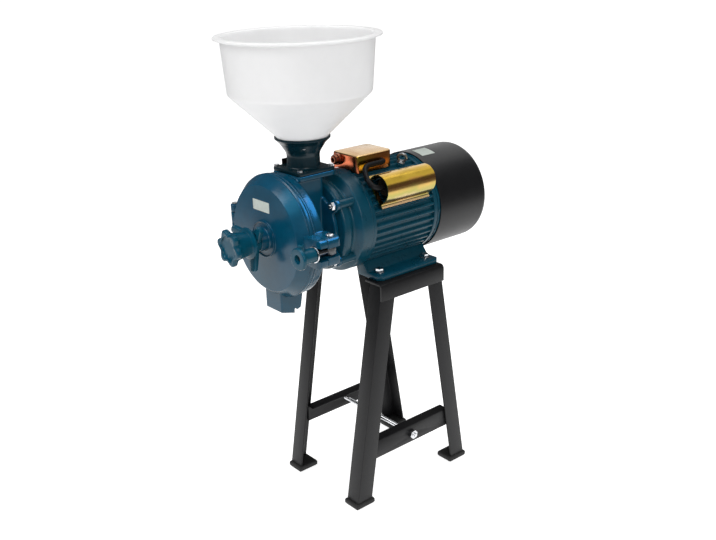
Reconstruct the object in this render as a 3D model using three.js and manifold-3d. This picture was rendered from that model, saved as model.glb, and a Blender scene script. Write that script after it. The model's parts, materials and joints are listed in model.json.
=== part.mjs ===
// Electric disc mill for grain: a feed hopper and collar over a cast grinding head, driven by a
// finned motor on an angle-steel stand. Lengths are in millimetres, angles in degrees, +Z is up.
// The motor axis runs along Y, the adjusting knob faces -Y and the clamp is on the +X side.
import * as THREE from 'three';
import { mergeVertices, toCreasedNormals } from 'three/addons/utils/BufferGeometryUtils.js';
import Module from 'manifold-3d';

const wasm = await Module();
wasm.setup();

// Shared clearances and facet counts
const gap = 0.3;
const overrun = 4;
const degree = THREE.MathUtils.DEG2RAD;
const full = (2 * Math.PI) / degree;
const half = full / 2;
const quarter = half / 2;
const sides = { large: 24, medium: 20, small: 12, screw: 8, hex: 6, corner: 2 };
const creaseAngle = 35;

// Driving dimensions of the stand
const stand = {
  height: 412,
  halfWidth: 103,
  length: 146,
  offset: -5,
  boltMargin: 9,
  flangeDrop: 30,
  steel: 4,
  bend: 6,
};
const leg = { width: 33, depth: 30, steel: 3, topSpread: 52, footSpread: 117 };
const pad = { length: 42, width: 35, height: 11, chamfer: 2 };
const brace = { level: 84, height: 34, depth: 20, steel: 3, overlap: 7 };
const tieRod = { radius: 4, rise: 17, stickOut: 4, nutRadius: 8.5, nutHeight: 7 };

// Driving dimensions of the motor, from its axis and the middle of its foot bolts
const motor = {
  shaftHeight: 94,
  length: 148,
  offset: -3,
  coreRadius: 79,
  boreRadius: 70,
  rimRadius: 85,
  rimWidth: 8,
};
const fin = { count: 40, height: 5, rootThickness: 6, tipThickness: 3.6 };
const foot = {
  halfWidth: 86,
  halfLength: 67.5,
  plate: 8,
  webTop: 52,
  webBottom: 57,
  webInner: 42,
  fillet: 4,
  chamfer: 9,
  boltX: 70,
  boltY: 53,
};
const bolt = { radius: 4, headRadius: 7, headHeight: 5.5, reach: 9, washerRadius: 8.4, washer: 1.6 };
const stator = { length: 90, innerRadius: 42, coilLength: 17, coilOuter: 63, coilInner: 47 };
const rotor = { length: 94, airGap: 0.6 };
const shaft = { body: 14, frontSeat: 12.5, augerSeat: 11, discSeat: 9, rearSeat: 10, fanSeat: 9 };
const frontBearing = { radius: 26, width: 15, groove: 1, lip: 3.5 };
const rearBearing = { radius: 23.5, width: 14, groove: 1, lip: 3.5 };
const bell = {
  length: 53,
  ringRadius: 86,
  ringWidth: 22,
  bulgeRadius: 77,
  bulgeWidth: 12,
  waistRadius: 71,
  nose: 7,
  wall: 7,
  hubWall: 8,
  hubRear: 23,
};
const rearShield = { plate: 6, rimDepth: 12, rimWall: 5, hubWall: 7, hubLip: 6 };
const fan = {
  standoff: 5,
  width: 38,
  radius: 72,
  hubRadius: 15,
  plate: 3,
  plateRadius: 66,
  blade: 2.4,
  blades: 9,
};
const cowl = { radius: 87.5, wall: 1.5, lap: 5, length: 117.5, corner: 13 };
const slots = { rings: 3, perRing: 6, firstRadius: 15, width: 7, pitch: 17 };
const slotShare = 0.74;

// Driving dimensions of the parts on top of the motor
const boxSeat = { halfX: 22, halfY: 30, rise: 4 };
const box = { halfX: 32, halfY: 40, height: 21, offset: -26, corner: 7, wall: 1.5, skirt: 11 };
const board = { halfX: 19, halfY: 24, base: 5, post: 3.5, postHeight: 6, postPitch: 11 };
const gland = { radius: 8, length: 12, nutRadius: 10, nutLength: 5, bore: 4, x: -14, drop: 11 };
const cap = {
  angle: 38,
  start: -59,
  length: 107,
  radius: 24,
  legs: 13,
  flange: 6,
  wall: 1.5,
  canRadius: 16.5,
  canLength: 88,
  seat: 2,
  bossLength: 12,
  bossInset: 14,
};
const lead = { radius: 4.5, y: -12, drop: 15, bow: 11, stub: 5 };
const eye = {
  y: 36,
  angle: 70,
  turn: 45,
  stem: 4,
  seat: 8,
  seatHeight: 1.5,
  collar: 6.5,
  ring: 9.5,
  hole: 4.6,
  thickness: 5,
  rise: 9.6,
};

// Driving dimensions of the grinding head
const head = {
  depth: 82.5,
  radius: 100,
  rimLip: 1.5,
  rimWidth: 4,
  wall: 6,
  floor: 7,
  coneRadius: 90,
  barrelRadius: 30,
  boreRadius: 22.5,
  flangeRadius: 62,
  flange: 8,
  rearWall: 7,
  blockHalf: 29,
};
const stud = {
  pitchRadius: 76,
  angle: 38,
  radius: 3,
  sunk: 10,
  stickOut: 2,
  earRadius: 10,
  bossRadius: 8,
  nutRadius: 7,
  nutHeight: 6.5,
};
const inlet = { setback: 18.5, height: 97, half: 36.5, plate: 8, corner: 6, clear: 0.5 };
const throat = { halfX: 19, halfY: 14, corner: 8 };
const chute = { halfWidth: 22, reach: 9.5, depth: 32, bottom: 125.5, wall: 4, top: 84 };
const cover = {
  depth: 20,
  wall: 5,
  edge: 8,
  bossRadius: 32,
  bossHeight: 4,
  hubRadius: 17,
  hubLength: 16.5,
  pinRadius: 3,
  pinPitch: 42,
};
const hinge = { x: 113, z: 8, pin: 3.5, knuckle: 7.5, height: 46, middle: 18, arm: 10, head: 5, headHeight: 2 };
const disc = { radius: 74, thickness: 5.6, meet: 2, spacing: 0.6, grooves: 18, groove: 3, grooveDepth: 1.6 };
const rotary = { eye: 44, hub: 18, hubLength: 10, spokes: 3, spoke: 14, land: 9 };
const fixedDisc = { eye: 24 };
const plate = { radius: 62, thickness: 4.6, travel: 2 };
const auger = { radius: 21.4, core: 14, vane: 58, pitch: 27, steps: 22, rear: 7 };

// Driving dimensions of the controls
const spindle = { radius: 8, buried: 8 };
const lock = {
  thickness: 11,
  hub: 17,
  arm: 48,
  armHalf: 6.5,
  armThickness: 8,
  arms: 3,
  phase: 35,
  tip: 3,
  bevel: 1.2,
  channelHalf: 2.6,
  channelDepth: 3,
  channelStart: 20,
};
const knob = {
  spacing: 2.5,
  barrel: 23,
  length: 40.3,
  skirt: 25.5,
  skirtWidth: 4,
  rim: 12,
  lobeMean: 27,
  lobe: 2.6,
  lobes: 6,
  phase: 40,
  bevel: 1.4,
  recess: 20,
  recessDepth: 3,
  boss: 11,
};
const clamp = { x: 119, z: 1, pivot: 18, nose: 30, side: 13, halfHeight: 23, slot: 5.8, root: 92 };
const swing = { shank: 5, eye: 9, eyeHeight: 12, length: 57, pin: 4, forkBack: 12, pinHead: 6.5, pinHeadHeight: 3 };
const washer = { radius: 14.5, thickness: 2.2 };
const handNut = {
  flange: 20,
  flangeWidth: 5,
  barrel: 13.5,
  length: 30,
  mouth: 7,
  mouthDepth: 6,
  stub: 5.5,
  stubReach: 24.5,
  stubInset: 9,
  stubHole: 2.4,
  stubHoleDepth: 6,
};

// Driving dimensions of the feed collar, gate and hopper
const collar = { base: 6, neck: 27, flareWall: 2.6, flareHeight: 20.4, lip: 2.4, screwInset: 5.5 };
const gate = { thickness: 2.2, halfWidth: 22, nose: 24, handle: 5, handleHalf: 12, rise: 13, bend: 2.4 };
const flangeScrew = { radius: 2.5, headRadius: 4.6, headHeight: 3.6, reach: 12 };
const setScrew = { radius: 2.8, angle: -34, rise: 6.5, stickOut: 1.2 };
const hopper = {
  spout: 20.4,
  spoutLength: 24,
  neckLevel: 35.5,
  coneHeight: 89.5,
  bodyRadius: 114,
  bodyHeight: 88,
  topRadius: 120,
  lipRadius: 130.5,
  lip: 4,
  wall: 2.5,
};

// Levels that several pieces share
const axisHeight = stand.height + motor.shaftHeight;
const frameFront = motor.offset - motor.length / 2;
const frameRear = motor.offset + motor.length / 2;
const finTip = motor.coreRadius + fin.height;
const bellRear = frameFront - gap;
const bellFront = bellRear - bell.length;
const headRear = bellFront - gap;
const parting = headRear - head.depth;
const inletY = headRear - inlet.setback;
const bandRear = inletY - inlet.half - inlet.clear;
const floorFace = bandRear - head.floor;
const coverBack = parting - gap;
const coverFace = coverBack - cover.depth;
const cavityRadius = head.radius - head.wall;
const cavityFace = coverFace + cover.wall;
const hubFace = coverFace - cover.hubLength;
const lockRear = hubFace - gap;
const lockFront = lockRear - lock.thickness;
const knobRear = lockFront - knob.spacing;
const knobFace = knobRear - knob.length;
const grindFace = parting - disc.meet;
const plateRear = grindFace - disc.thickness - gap;
const plateFace = plateRear - plate.thickness;
const rotaryFront = grindFace + disc.spacing;
const rotaryRear = rotaryFront + disc.thickness;
const rotaryHubRear = rotaryRear + rotary.hubLength;
const bearingShoulder = bellRear - bell.hubRear - frontBearing.width - gap;
const shieldFront = frameRear + gap;
const rearBearingRear = shieldFront + gap + rearBearing.width;
const hubEnd = rearBearingRear + gap + rearShield.hubLip;
const fanFront = hubEnd + fan.standoff;
const fanRear = fanFront + fan.width;
const cowlFront = frameRear + cowl.lap;
const cowlRear = cowlFront + cowl.length;
const shaftRunning = 2 * gap;
const neckBore = hopper.spout + 2 * gap;
const coneSlope = (hopper.bodyRadius - hopper.spout) / hopper.coneHeight;
const pivotY = headRear - head.depth + clamp.pivot;
const nutSeat = pivotY - clamp.nose - gap;
const boxFloor = finTip + boxSeat.rise;
const boxTop = boxFloor + box.height;
const leadLevel = boxTop - lead.drop;
const capBase = finTip + cap.seat;
const canAxis = capBase + cap.wall + gap + cap.canRadius;
const pinTip = plateRear - plate.travel - gap;

// Outline and solid helpers
function clearOf(radius) {
  return (radius + gap) / Math.cos((half * degree) / sides.large);
}

function solid(geometry) {
  const bare = geometry.clone();
  bare.deleteAttribute('normal');
  bare.deleteAttribute('uv');
  const merged = mergeVertices(bare);
  const position = merged.attributes.position;
  const index = merged.index.array;
  const corners = [new THREE.Vector3(), new THREE.Vector3(), new THREE.Vector3()];
  const faces = [];
  let volume = 0;
  for (let i = 0; i < index.length; i += 3) {
    const face = [index[i], index[i + 1], index[i + 2]];
    if (new Set(face).size < face.length) continue;
    faces.push(face);
    face.forEach((vertex, k) => corners[k].fromBufferAttribute(position, vertex));
    volume += corners[0].dot(corners[1].clone().cross(corners[2]));
  }
  if (volume < 0) faces.forEach((face) => face.reverse());
  const mesh = new wasm.Mesh({
    numProp: 3,
    vertProperties: new Float32Array(position.array),
    triVerts: new Uint32Array(faces.flat()),
  });
  return new wasm.Manifold(mesh);
}

function geometryOf(body) {
  const mesh = body.getMesh();
  const geometry = new THREE.BufferGeometry();
  geometry.setAttribute('position', new THREE.BufferAttribute(mesh.vertProperties, 3));
  geometry.setIndex(new THREE.BufferAttribute(mesh.triVerts, 1));
  return geometry;
}

function join(...geometries) {
  return geometryOf(geometries.map(solid).reduce((whole, piece) => whole.add(piece)));
}

function cut(base, ...tools) {
  return geometryOf(tools.map(solid).reduce((whole, tool) => whole.subtract(tool), solid(base)));
}

function arc(cx, cy, radius, from, to, steps = sides.corner) {
  const points = [];
  for (let i = 0; i <= steps; i += 1) {
    const angle = (from + ((to - from) * i) / steps) * degree;
    points.push([cx + radius * Math.cos(angle), cy + radius * Math.sin(angle)]);
  }
  return points;
}

function shapeOf(points) {
  return new THREE.Shape(points.map(([x, y]) => new THREE.Vector2(x, y)));
}

function roundedRectangle(halfX, halfY, corner, centreX = 0, centreY = 0) {
  const x = halfX - corner;
  const y = halfY - corner;
  return [
    ...arc(centreX + x, centreY + y, corner, 0, quarter),
    ...arc(centreX - x, centreY + y, corner, quarter, half),
    ...arc(centreX - x, centreY - y, corner, half, half + quarter),
    ...arc(centreX + x, centreY - y, corner, half + quarter, full),
  ];
}

function polygon(radius, count, phase = 0) {
  return arc(0, 0, radius, phase, phase + full, count).slice(1);
}

// A revolved solid about Y or Z from a profile of [radius, height] points
function revolve(profile, segments, axis = 'y') {
  const closed = profile[0][0] === 0 && profile[profile.length - 1][0] === 0;
  const points = closed ? profile : [...profile, profile[0]];
  const geometry = new THREE.LatheGeometry(points.map(([r, h]) => new THREE.Vector2(r, h)), segments);
  return axis === 'z' ? geometry.rotateX(quarter * degree) : geometry;
}

function ring(inner, outer, low, high, segments, axis = 'y') {
  return revolve([[inner, low], [outer, low], [outer, high], [inner, high]], segments, axis);
}

function rod(radius, low, high, segments, axis = 'y') {
  return revolve([[0, low], [radius, low], [radius, high], [0, high]], segments, axis);
}

// An outline of [x, y] points raised along Z
function raise(points, low, high, bevel = 0) {
  const geometry = new THREE.ExtrudeGeometry(shapeOf(points), {
    depth: high - low - 2 * bevel,
    bevelEnabled: bevel > 0,
    bevelThickness: bevel,
    bevelSize: bevel,
    bevelOffset: -bevel,
    bevelSegments: 1,
  });
  return geometry.translate(0, 0, low + bevel);
}

// An outline of [x, z] points drawn out along Y
function drawY(points, low, high, bevel = 0) {
  return raise(points, -high, -low, bevel).rotateX(quarter * degree);
}

// An outline of [y, z] points drawn out along X
function drawX(points, low, high, bevel = 0) {
  const turn = new THREE.Matrix4().makeBasis(
    new THREE.Vector3(0, 1, 0),
    new THREE.Vector3(0, 0, 1),
    new THREE.Vector3(1, 0, 0),
  );
  return raise(points, low, high, bevel).applyMatrix4(turn);
}

function block(x0, x1, y0, y1, z0, z1) {
  return new THREE.BoxGeometry(x1 - x0, y1 - y0, z1 - z0)
    .translate((x0 + x1) / 2, (y0 + y1) / 2, (z0 + z1) / 2);
}

function placed(geometry, x = 0, y = 0, z = 0) {
  return geometry.clone().translate(x, y, z);
}

const finishes = {
  blackSteel: { color: 0x232325, roughness: 0.45, metalness: 0.2 },
  rubber: { color: 0x1a1a1a, roughness: 0.85, metalness: 0 },
  millPaint: { color: 0x0b4a66, roughness: 0.35, metalness: 0.15 },
  coverPaint: { color: 0x0d5373, roughness: 0.3, metalness: 0.15 },
  cowlPaint: { color: 0x202124, roughness: 0.5, metalness: 0.1 },
  zinc: { color: 0xc99a4a, roughness: 0.3, metalness: 0.9 },
  chrome: { color: 0xd0d4d8, roughness: 0.2, metalness: 1 },
  steel: { color: 0x9aa0a6, roughness: 0.4, metalness: 0.9 },
  iron: { color: 0x6d6f72, roughness: 0.6, metalness: 0.8 },
  copper: { color: 0xa8682f, roughness: 0.45, metalness: 0.7 },
  whitePlastic: { color: 0xf0f1f2, roughness: 0.4, metalness: 0 },
  blackPlastic: { color: 0x141416, roughness: 0.5, metalness: 0 },
};

function part(group, name, geometry, finish) {
  const material = new THREE.MeshStandardMaterial(finishes[finish]);
  const mesh = new THREE.Mesh(toCreasedNormals(geometry, creaseAngle * degree), material);
  mesh.name = name;
  group.add(mesh);
  return mesh;
}

// Stand: two folded rails, four angle legs with pads, two braces and a tie rod between them
function railGeometry(facing) {
  const outer = stand.halfWidth;
  const top = stand.height;
  const inner = outer - stand.steel;
  const flangeEdge = foot.boltX - stand.boltMargin;
  const outline = [
    [flangeEdge, top],
    ...arc(outer - stand.bend, top - stand.bend, stand.bend, quarter, 0),
    [outer, top - stand.flangeDrop],
    [inner, top - stand.flangeDrop],
    [inner, top - stand.steel],
    [flangeEdge, top - stand.steel],
  ];
  const rail = drawY(outline, -stand.length / 2, stand.length / 2);
  const holes = [-foot.boltY, foot.boltY].map((y) => placed(
    rod(bolt.radius + gap, top - stand.steel - overrun, top + overrun, sides.screw, 'z'),
    foot.boltX,
    facing * (y - stand.offset),
  ));
  return cut(rail, ...holes);
}

function legGeometry(side) {
  const outer = stand.halfWidth - stand.steel - gap;
  const top = stand.height - stand.steel - gap;
  const bottom = pad.height + gap;
  const edge = leg.width / 2;
  const plateOutline = [
    [side * (leg.topSpread - edge), top],
    [side * (leg.topSpread + edge), top],
    [side * (leg.footSpread + edge), bottom],
    [side * (leg.footSpread - edge), bottom],
  ];
  const flangeOutline = [
    [side * (leg.topSpread + edge - leg.steel), top],
    [side * (leg.topSpread + edge), top],
    [side * (leg.footSpread + edge), bottom],
    [side * (leg.footSpread + edge - leg.steel), bottom],
  ];
  return join(
    drawX(plateOutline, outer - leg.steel, outer),
    drawX(flangeOutline, outer - leg.depth, outer),
  );
}

function padGeometry() {
  const x = pad.width / 2;
  const y = pad.length / 2;
  const outline = [[-x, -y], [x, -y], [x, y], [-x, y]];
  return raise(outline, 0, pad.height, pad.chamfer);
}

const legLean = (leg.footSpread - leg.topSpread) / (stand.height - stand.steel - gap - pad.height - gap);
const braceTop = brace.level + brace.height;
const braceMiddle = (brace.level + braceTop) / 2;
const braceOuter = stand.halfWidth - stand.steel - gap - leg.steel - gap;
const braceReach = leg.topSpread + legLean * (stand.height - stand.steel - gap - braceMiddle)
  - leg.width / 2 + brace.overlap;
const rodLevel = brace.level + tieRod.rise;

function braceGeometry() {
  const outline = [
    [braceOuter, brace.level],
    [braceOuter, braceTop],
    [braceOuter - brace.depth, braceTop],
    [braceOuter - brace.depth, braceTop - brace.steel],
    [braceOuter - brace.steel, braceTop - brace.steel],
    [braceOuter - brace.steel, brace.level],
  ];
  const hole = drawX(polygon(tieRod.radius + gap, sides.screw), 0, stand.halfWidth).translate(0, 0, rodLevel);
  return cut(drawY(outline, -braceReach, braceReach), hole);
}

function tieRodGeometry() {
  const seat = braceOuter + gap;
  const end = seat + tieRod.nutHeight + tieRod.stickOut;
  const nuts = [seat, -seat - tieRod.nutHeight].map((low) => (
    raise(polygon(tieRod.nutRadius, sides.hex), low, low + tieRod.nutHeight)
  ));
  return join(rod(tieRod.radius, -end, end, sides.screw, 'z'), ...nuts)
    .rotateY(quarter * degree)
    .translate(0, 0, rodLevel);
}

function buildStand() {
  const group = new THREE.Group();
  group.position.y = stand.offset;
  part(group, 'tie_rod', tieRodGeometry(), 'chrome');
  for (const [where, turn] of [['near', 0], ['far', half]]) {
    const side = new THREE.Group();
    side.rotation.z = turn * degree;
    group.add(side);
    part(side, `rail_${where}`, railGeometry(Math.cos(turn * degree)), 'blackSteel');
    part(side, `brace_${where}`, braceGeometry(), 'blackSteel');
    for (const end of [-1, 1]) {
      const word = (end < 0) === (turn === 0) ? 'front' : 'rear';
      part(side, `leg_${where}_${word}`, legGeometry(end), 'blackSteel');
      const foot = part(side, `foot_pad_${where}_${word}`, padGeometry(), 'rubber');
      foot.position.x = stand.halfWidth - stand.steel - pad.width / 2 + pad.chamfer;
      foot.position.y = end * leg.footSpread;
    }
  }
  return group;
}

// Motor frame: finned shell with rims, cast feet, a pad for the terminal box and capacitor bosses
function finOutline() {
  const points = [];
  const rootSpread = fin.rootThickness / motor.coreRadius / 2 / degree;
  const tipSpread = fin.tipThickness / finTip / 2 / degree;
  for (let i = 0; i < fin.count; i += 1) {
    const middle = (full * i) / fin.count;
    const corners = [
      [motor.coreRadius, middle - rootSpread],
      [finTip, middle - tipSpread],
      [finTip, middle + tipSpread],
      [motor.coreRadius, middle + rootSpread],
    ];
    corners.forEach(([r, a]) => points.push([r * Math.cos(a * degree), r * Math.sin(a * degree)]));
  }
  return points;
}

function footOutline(side) {
  const bottom = -motor.shaftHeight + gap;
  const webTopZ = -Math.sqrt(motor.coreRadius ** 2 - foot.webTop ** 2) + fin.height;
  const innerZ = -Math.sqrt(motor.coreRadius ** 2 - foot.webInner ** 2) + fin.height;
  return [
    [side * foot.halfWidth, bottom],
    [side * foot.halfWidth, bottom + foot.plate],
    [side * (foot.webBottom + foot.fillet), bottom + foot.plate],
    [side * foot.webBottom, bottom + foot.plate + foot.fillet],
    [side * foot.webTop, webTopZ],
    [side * foot.webInner, innerZ],
    [side * foot.webInner, bottom],
  ];
}

function footGeometry(side) {
  const bottom = -motor.shaftHeight + gap;
  const body = drawY(footOutline(side), -foot.halfLength, foot.halfLength);
  const corners = [];
  for (const end of [-1, 1]) {
    const x = side * foot.halfWidth;
    const y = end * foot.halfLength;
    const wedge = [
      [x + side * overrun, y + end * overrun],
      [x + side * overrun, y - end * (foot.chamfer + overrun)],
      [x - side * (foot.chamfer + overrun), y + end * overrun],
    ];
    corners.push(raise(wedge, bottom - overrun, bottom + foot.plate + overrun));
    const hole = rod(bolt.radius + gap, bottom - overrun, bottom + foot.plate + overrun, sides.screw, 'z');
    corners.push(hole.translate(side * foot.boltX, end * foot.boltY, 0));
  }
  return cut(body, ...corners);
}

function onCapacitorSide(geometry) {
  return geometry.rotateY((quarter - cap.angle) * degree);
}

function onEyeSide(geometry) {
  return geometry.rotateY((quarter - eye.angle) * degree).translate(0, eye.y, 0);
}

function capacitorBosses() {
  const bosses = [];
  const middle = cap.radius + cap.flange / 2;
  for (const end of [cap.start + cap.bossInset, cap.start + cap.length - cap.bossInset]) {
    for (const side of [-1, 1]) {
      const x = side * middle;
      const reach = cap.flange / 2;
      const low = Math.sqrt(motor.coreRadius ** 2 - (middle + reach) ** 2) - fin.height;
      const boss = block(x - reach, x + reach, end - cap.bossLength / 2, end + cap.bossLength / 2, low, capBase - gap);
      bosses.push(onCapacitorSide(boss));
    }
  }
  return bosses;
}

function motorFrame() {
  const front = frameFront;
  const rear = frameRear;
  const body = join(
    drawY(finOutline(), front + motor.rimWidth / 2, rear - motor.rimWidth / 2),
    rod(motor.rimRadius, front, front + motor.rimWidth, sides.large),
    rod(motor.rimRadius, rear - motor.rimWidth, rear, sides.large),
    footGeometry(1),
    footGeometry(-1),
    block(-boxSeat.halfX, boxSeat.halfX, box.offset - boxSeat.halfY, box.offset + boxSeat.halfY,
      motor.boreRadius, boxFloor),
    ...capacitorBosses(),
    onEyeSide(rod(eye.seat, motor.boreRadius, finTip + eye.seatHeight, sides.screw, 'z')),
  );
  return cut(
    body,
    rod(motor.boreRadius, front - overrun, rear + overrun, sides.large),
    onEyeSide(rod(eye.stem + gap, motor.coreRadius, finTip + overrun + eye.seatHeight, sides.screw, 'z')),
  );
}

function statorGeometry() {
  const low = motor.offset - stator.length / 2;
  const high = motor.offset + stator.length / 2;
  const outer = motor.boreRadius - 2 * gap;
  return revolve([
    [stator.innerRadius, low],
    [stator.coilInner, low],
    [stator.coilInner, low - stator.coilLength],
    [stator.coilOuter, low - stator.coilLength],
    [stator.coilOuter, low],
    [outer, low],
    [outer, high],
    [stator.coilOuter, high],
    [stator.coilOuter, high + stator.coilLength],
    [stator.coilInner, high + stator.coilLength],
    [stator.coilInner, high],
    [stator.innerRadius, high],
  ], sides.medium);
}

function bearingGeometry(bearing, seat, low) {
  const high = low + bearing.width;
  const inner = seat + gap;
  const outer = bearing.radius;
  const innerLip = inner + bearing.lip;
  const outerLip = outer - bearing.lip;
  return revolve([
    [inner, low],
    [innerLip, low],
    [(innerLip + outerLip) / 2, low + bearing.groove],
    [outerLip, low],
    [outer, low],
    [outer, high],
    [outerLip, high],
    [(innerLip + outerLip) / 2, high - bearing.groove],
    [innerLip, high],
    [inner, high],
  ], sides.small);
}

function studPlaces() {
  const places = [];
  for (const angle of [stud.angle, half - stud.angle, half + stud.angle, full - stud.angle]) {
    places.push([stud.pitchRadius * Math.cos(angle * degree), stud.pitchRadius * Math.sin(angle * degree)]);
  }
  return places;
}

function bellGeometry() {
  const front = bellFront;
  const rear = bellRear;
  const ringFront = rear - bell.ringWidth;
  const bulgeRear = front + bell.nose + bell.bulgeWidth / 2;
  const waist = (bulgeRear + ringFront) / 2;
  const wallFront = front + bell.wall;
  const hubOuter = frontBearing.radius + gap + bell.hubWall;
  const hubRear = rear - bell.hubRear;
  const shell = revolve([
    [shaft.frontSeat + shaftRunning, front],
    ...arc(bell.bulgeRadius - bell.nose, front + bell.nose, bell.nose, -quarter, 0),
    [bell.bulgeRadius, bulgeRear],
    [bell.waistRadius, waist],
    [bell.ringRadius, ringFront],
    [bell.ringRadius, rear],
    [bell.ringRadius - bell.wall, rear],
    [bell.ringRadius - bell.wall, ringFront + bell.wall / 2],
    [bell.waistRadius - bell.wall, waist + bell.wall / 2],
    [bell.waistRadius - bell.wall, wallFront],
    [hubOuter, wallFront],
    [hubOuter, hubRear],
    [frontBearing.radius + gap, hubRear],
    [frontBearing.radius + gap, bearingShoulder],
    [shaft.frontSeat + shaftRunning, bearingShoulder],
  ], sides.large);
  const bosses = studPlaces().map(([x, z]) => placed(
    rod(stud.bossRadius, front, ringFront + bell.wall, sides.screw),
    x,
    0,
    z,
  ));
  const studHoles = studPlaces().map(([x, z]) => placed(
    rod(stud.radius + gap, front - overrun, front + stud.sunk + gap, sides.screw),
    x,
    0,
    z,
  ));
  return cut(join(shell, ...bosses), ...studHoles);
}

function rearShieldGeometry() {
  const front = shieldFront;
  const rim = cowl.radius - cowl.wall - gap;
  const seat = rearBearing.radius + gap;
  const hub = seat + rearShield.hubWall;
  return revolve([
    [seat, front],
    [rim, front],
    [rim, front + rearShield.rimDepth],
    [rim - rearShield.rimWall, front + rearShield.rimDepth],
    [rim - rearShield.rimWall, front + rearShield.plate],
    [hub, front + rearShield.plate],
    [hub, hubEnd],
    [shaft.rearSeat + shaftRunning, hubEnd],
    [shaft.rearSeat + shaftRunning, rearBearingRear + gap],
    [seat, rearBearingRear + gap],
  ], sides.large);
}

function shaftGeometry() {
  const nose = grindFace + disc.spacing + gap;
  const augerFront = rotaryHubRear + gap;
  const seatFront = headRear - head.rearWall - gap;
  return revolve([
    [0, nose],
    [shaft.discSeat, nose],
    [shaft.discSeat, augerFront],
    [shaft.augerSeat, augerFront],
    [shaft.augerSeat, seatFront],
    [shaft.frontSeat, seatFront],
    [shaft.frontSeat, bearingShoulder + frontBearing.width + 2 * gap],
    [shaft.body, bearingShoulder + frontBearing.width + 2 * gap],
    [shaft.body, frameRear - gap],
    [shaft.rearSeat, frameRear - gap],
    [shaft.rearSeat, hubEnd],
    [shaft.fanSeat, hubEnd],
    [shaft.fanSeat, fanRear + gap],
    [0, fanRear + gap],
  ], sides.small);
}

function fanGeometry() {
  const hub = ring(shaft.fanSeat + gap, fan.hubRadius, fanFront, fanRear, sides.small);
  const web = ring(fan.hubRadius - fan.plate, fan.plateRadius, fanFront, fanFront + fan.plate, sides.medium);
  const blades = [];
  for (let i = 0; i < fan.blades; i += 1) {
    const blade = block(fan.hubRadius - fan.plate / 2, fan.radius, fanFront + fan.plate / 2, fanRear,
      -fan.blade / 2, fan.blade / 2);
    blades.push(blade.rotateY((full * i * degree) / fan.blades));
  }
  return join(hub, web, ...blades);
}

function arcSlot(radius, width, middle, spread, low, high) {
  const outer = arc(0, 0, radius + width / 2, middle - spread, middle + spread);
  const inner = arc(0, 0, radius - width / 2, middle + spread, middle - spread);
  return drawY([...outer, ...inner], low, high);
}

function cowlGeometry() {
  const inner = cowl.radius - cowl.wall;
  const shell = revolve([
    [0, cowlRear - cowl.wall],
    ...arc(cowl.radius - cowl.corner, cowlRear - cowl.corner, cowl.corner - cowl.wall, quarter, 0),
    [inner, cowlFront],
    [cowl.radius, cowlFront],
    ...arc(cowl.radius - cowl.corner, cowlRear - cowl.corner, cowl.corner, 0, quarter),
    [0, cowlRear],
  ], sides.large);
  const cutters = [];
  for (let row = 0; row < slots.rings; row += 1) {
    const radius = slots.firstRadius + slots.pitch * row + slots.width;
    for (let i = 0; i < slots.perRing; i += 1) {
      const spread = (half / slots.perRing) * slotShare;
      const middle = (full * i) / slots.perRing;
      cutters.push(arcSlot(radius, slots.width, middle, spread, cowlRear - cowl.wall - overrun, cowlRear + overrun));
    }
  }
  return cut(shell, ...cutters);
}

function boxOutlines() {
  return {
    outer: roundedRectangle(box.halfX, box.halfY, box.corner, 0, box.offset),
    inner: roundedRectangle(box.halfX - box.wall, box.halfY - box.wall, box.corner - box.wall, 0, box.offset),
  };
}

function terminalBox() {
  const { outer, inner } = boxOutlines();
  const body = raise(outer, boxFloor - box.skirt, boxTop, box.wall);
  const front = box.offset - box.halfY;
  const glandHole = drawY(polygon(gland.radius + gap, sides.small), front - overrun, front + overrun);
  return cut(
    body,
    raise(inner, boxFloor - box.skirt - overrun, boxTop - box.wall),
    rod(clearOf(finTip), frameFront, frameRear, sides.large),
    glandHole.translate(gland.x, 0, boxTop - gland.drop),
  );
}

function terminalBoard() {
  const low = boxFloor + gap;
  const base = block(-board.halfX, board.halfX, box.offset - board.halfY, box.offset + board.halfY, low, low + board.base);
  const posts = [];
  for (const x of [-board.postPitch, board.postPitch]) {
    for (const y of [-board.postPitch, board.postPitch]) {
      const post = rod(board.post, low + board.base / 2, low + board.base + board.postHeight, sides.hex, 'z');
      posts.push(post.translate(x, box.offset + y, 0));
    }
  }
  return join(base, ...posts);
}

function glandGeometry() {
  const front = box.offset - box.halfY;
  const inside = front + box.wall + gap;
  return revolve([
    [gland.bore, front - gland.length],
    [gland.radius - gland.bore / 2, front - gland.length],
    [gland.radius, front - gland.length + gland.bore / 2],
    [gland.radius, front - gap - gland.nutLength],
    [gland.nutRadius, front - gap - gland.nutLength],
    [gland.nutRadius, front - gap],
    [gland.radius, front - gap],
    [gland.radius, inside + gland.nutLength],
    [gland.bore, inside + gland.nutLength],
  ], sides.small).translate(gland.x, 0, boxTop - gland.drop);
}

function archOutline(radius, low, centre) {
  return [[radius, low], ...arc(0, centre, radius, 0, half, sides.screw), [-radius, low]];
}

function capacitorCover() {
  const low = capBase;
  const floor = low + cap.wall;
  const edge = cap.radius + cap.flange;
  const end = cap.start + cap.length;
  const outer = archOutline(cap.radius, floor, low + cap.legs);
  const inner = archOutline(cap.radius - cap.wall, floor, low + cap.legs);
  const outline = [[edge, low], [edge, floor], ...outer, [-edge, floor], [-edge, low]];
  return onCapacitorSide(cut(
    drawY(outline, cap.start, end),
    drawY(inner, cap.start - overrun, end + overrun),
  ));
}

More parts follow.
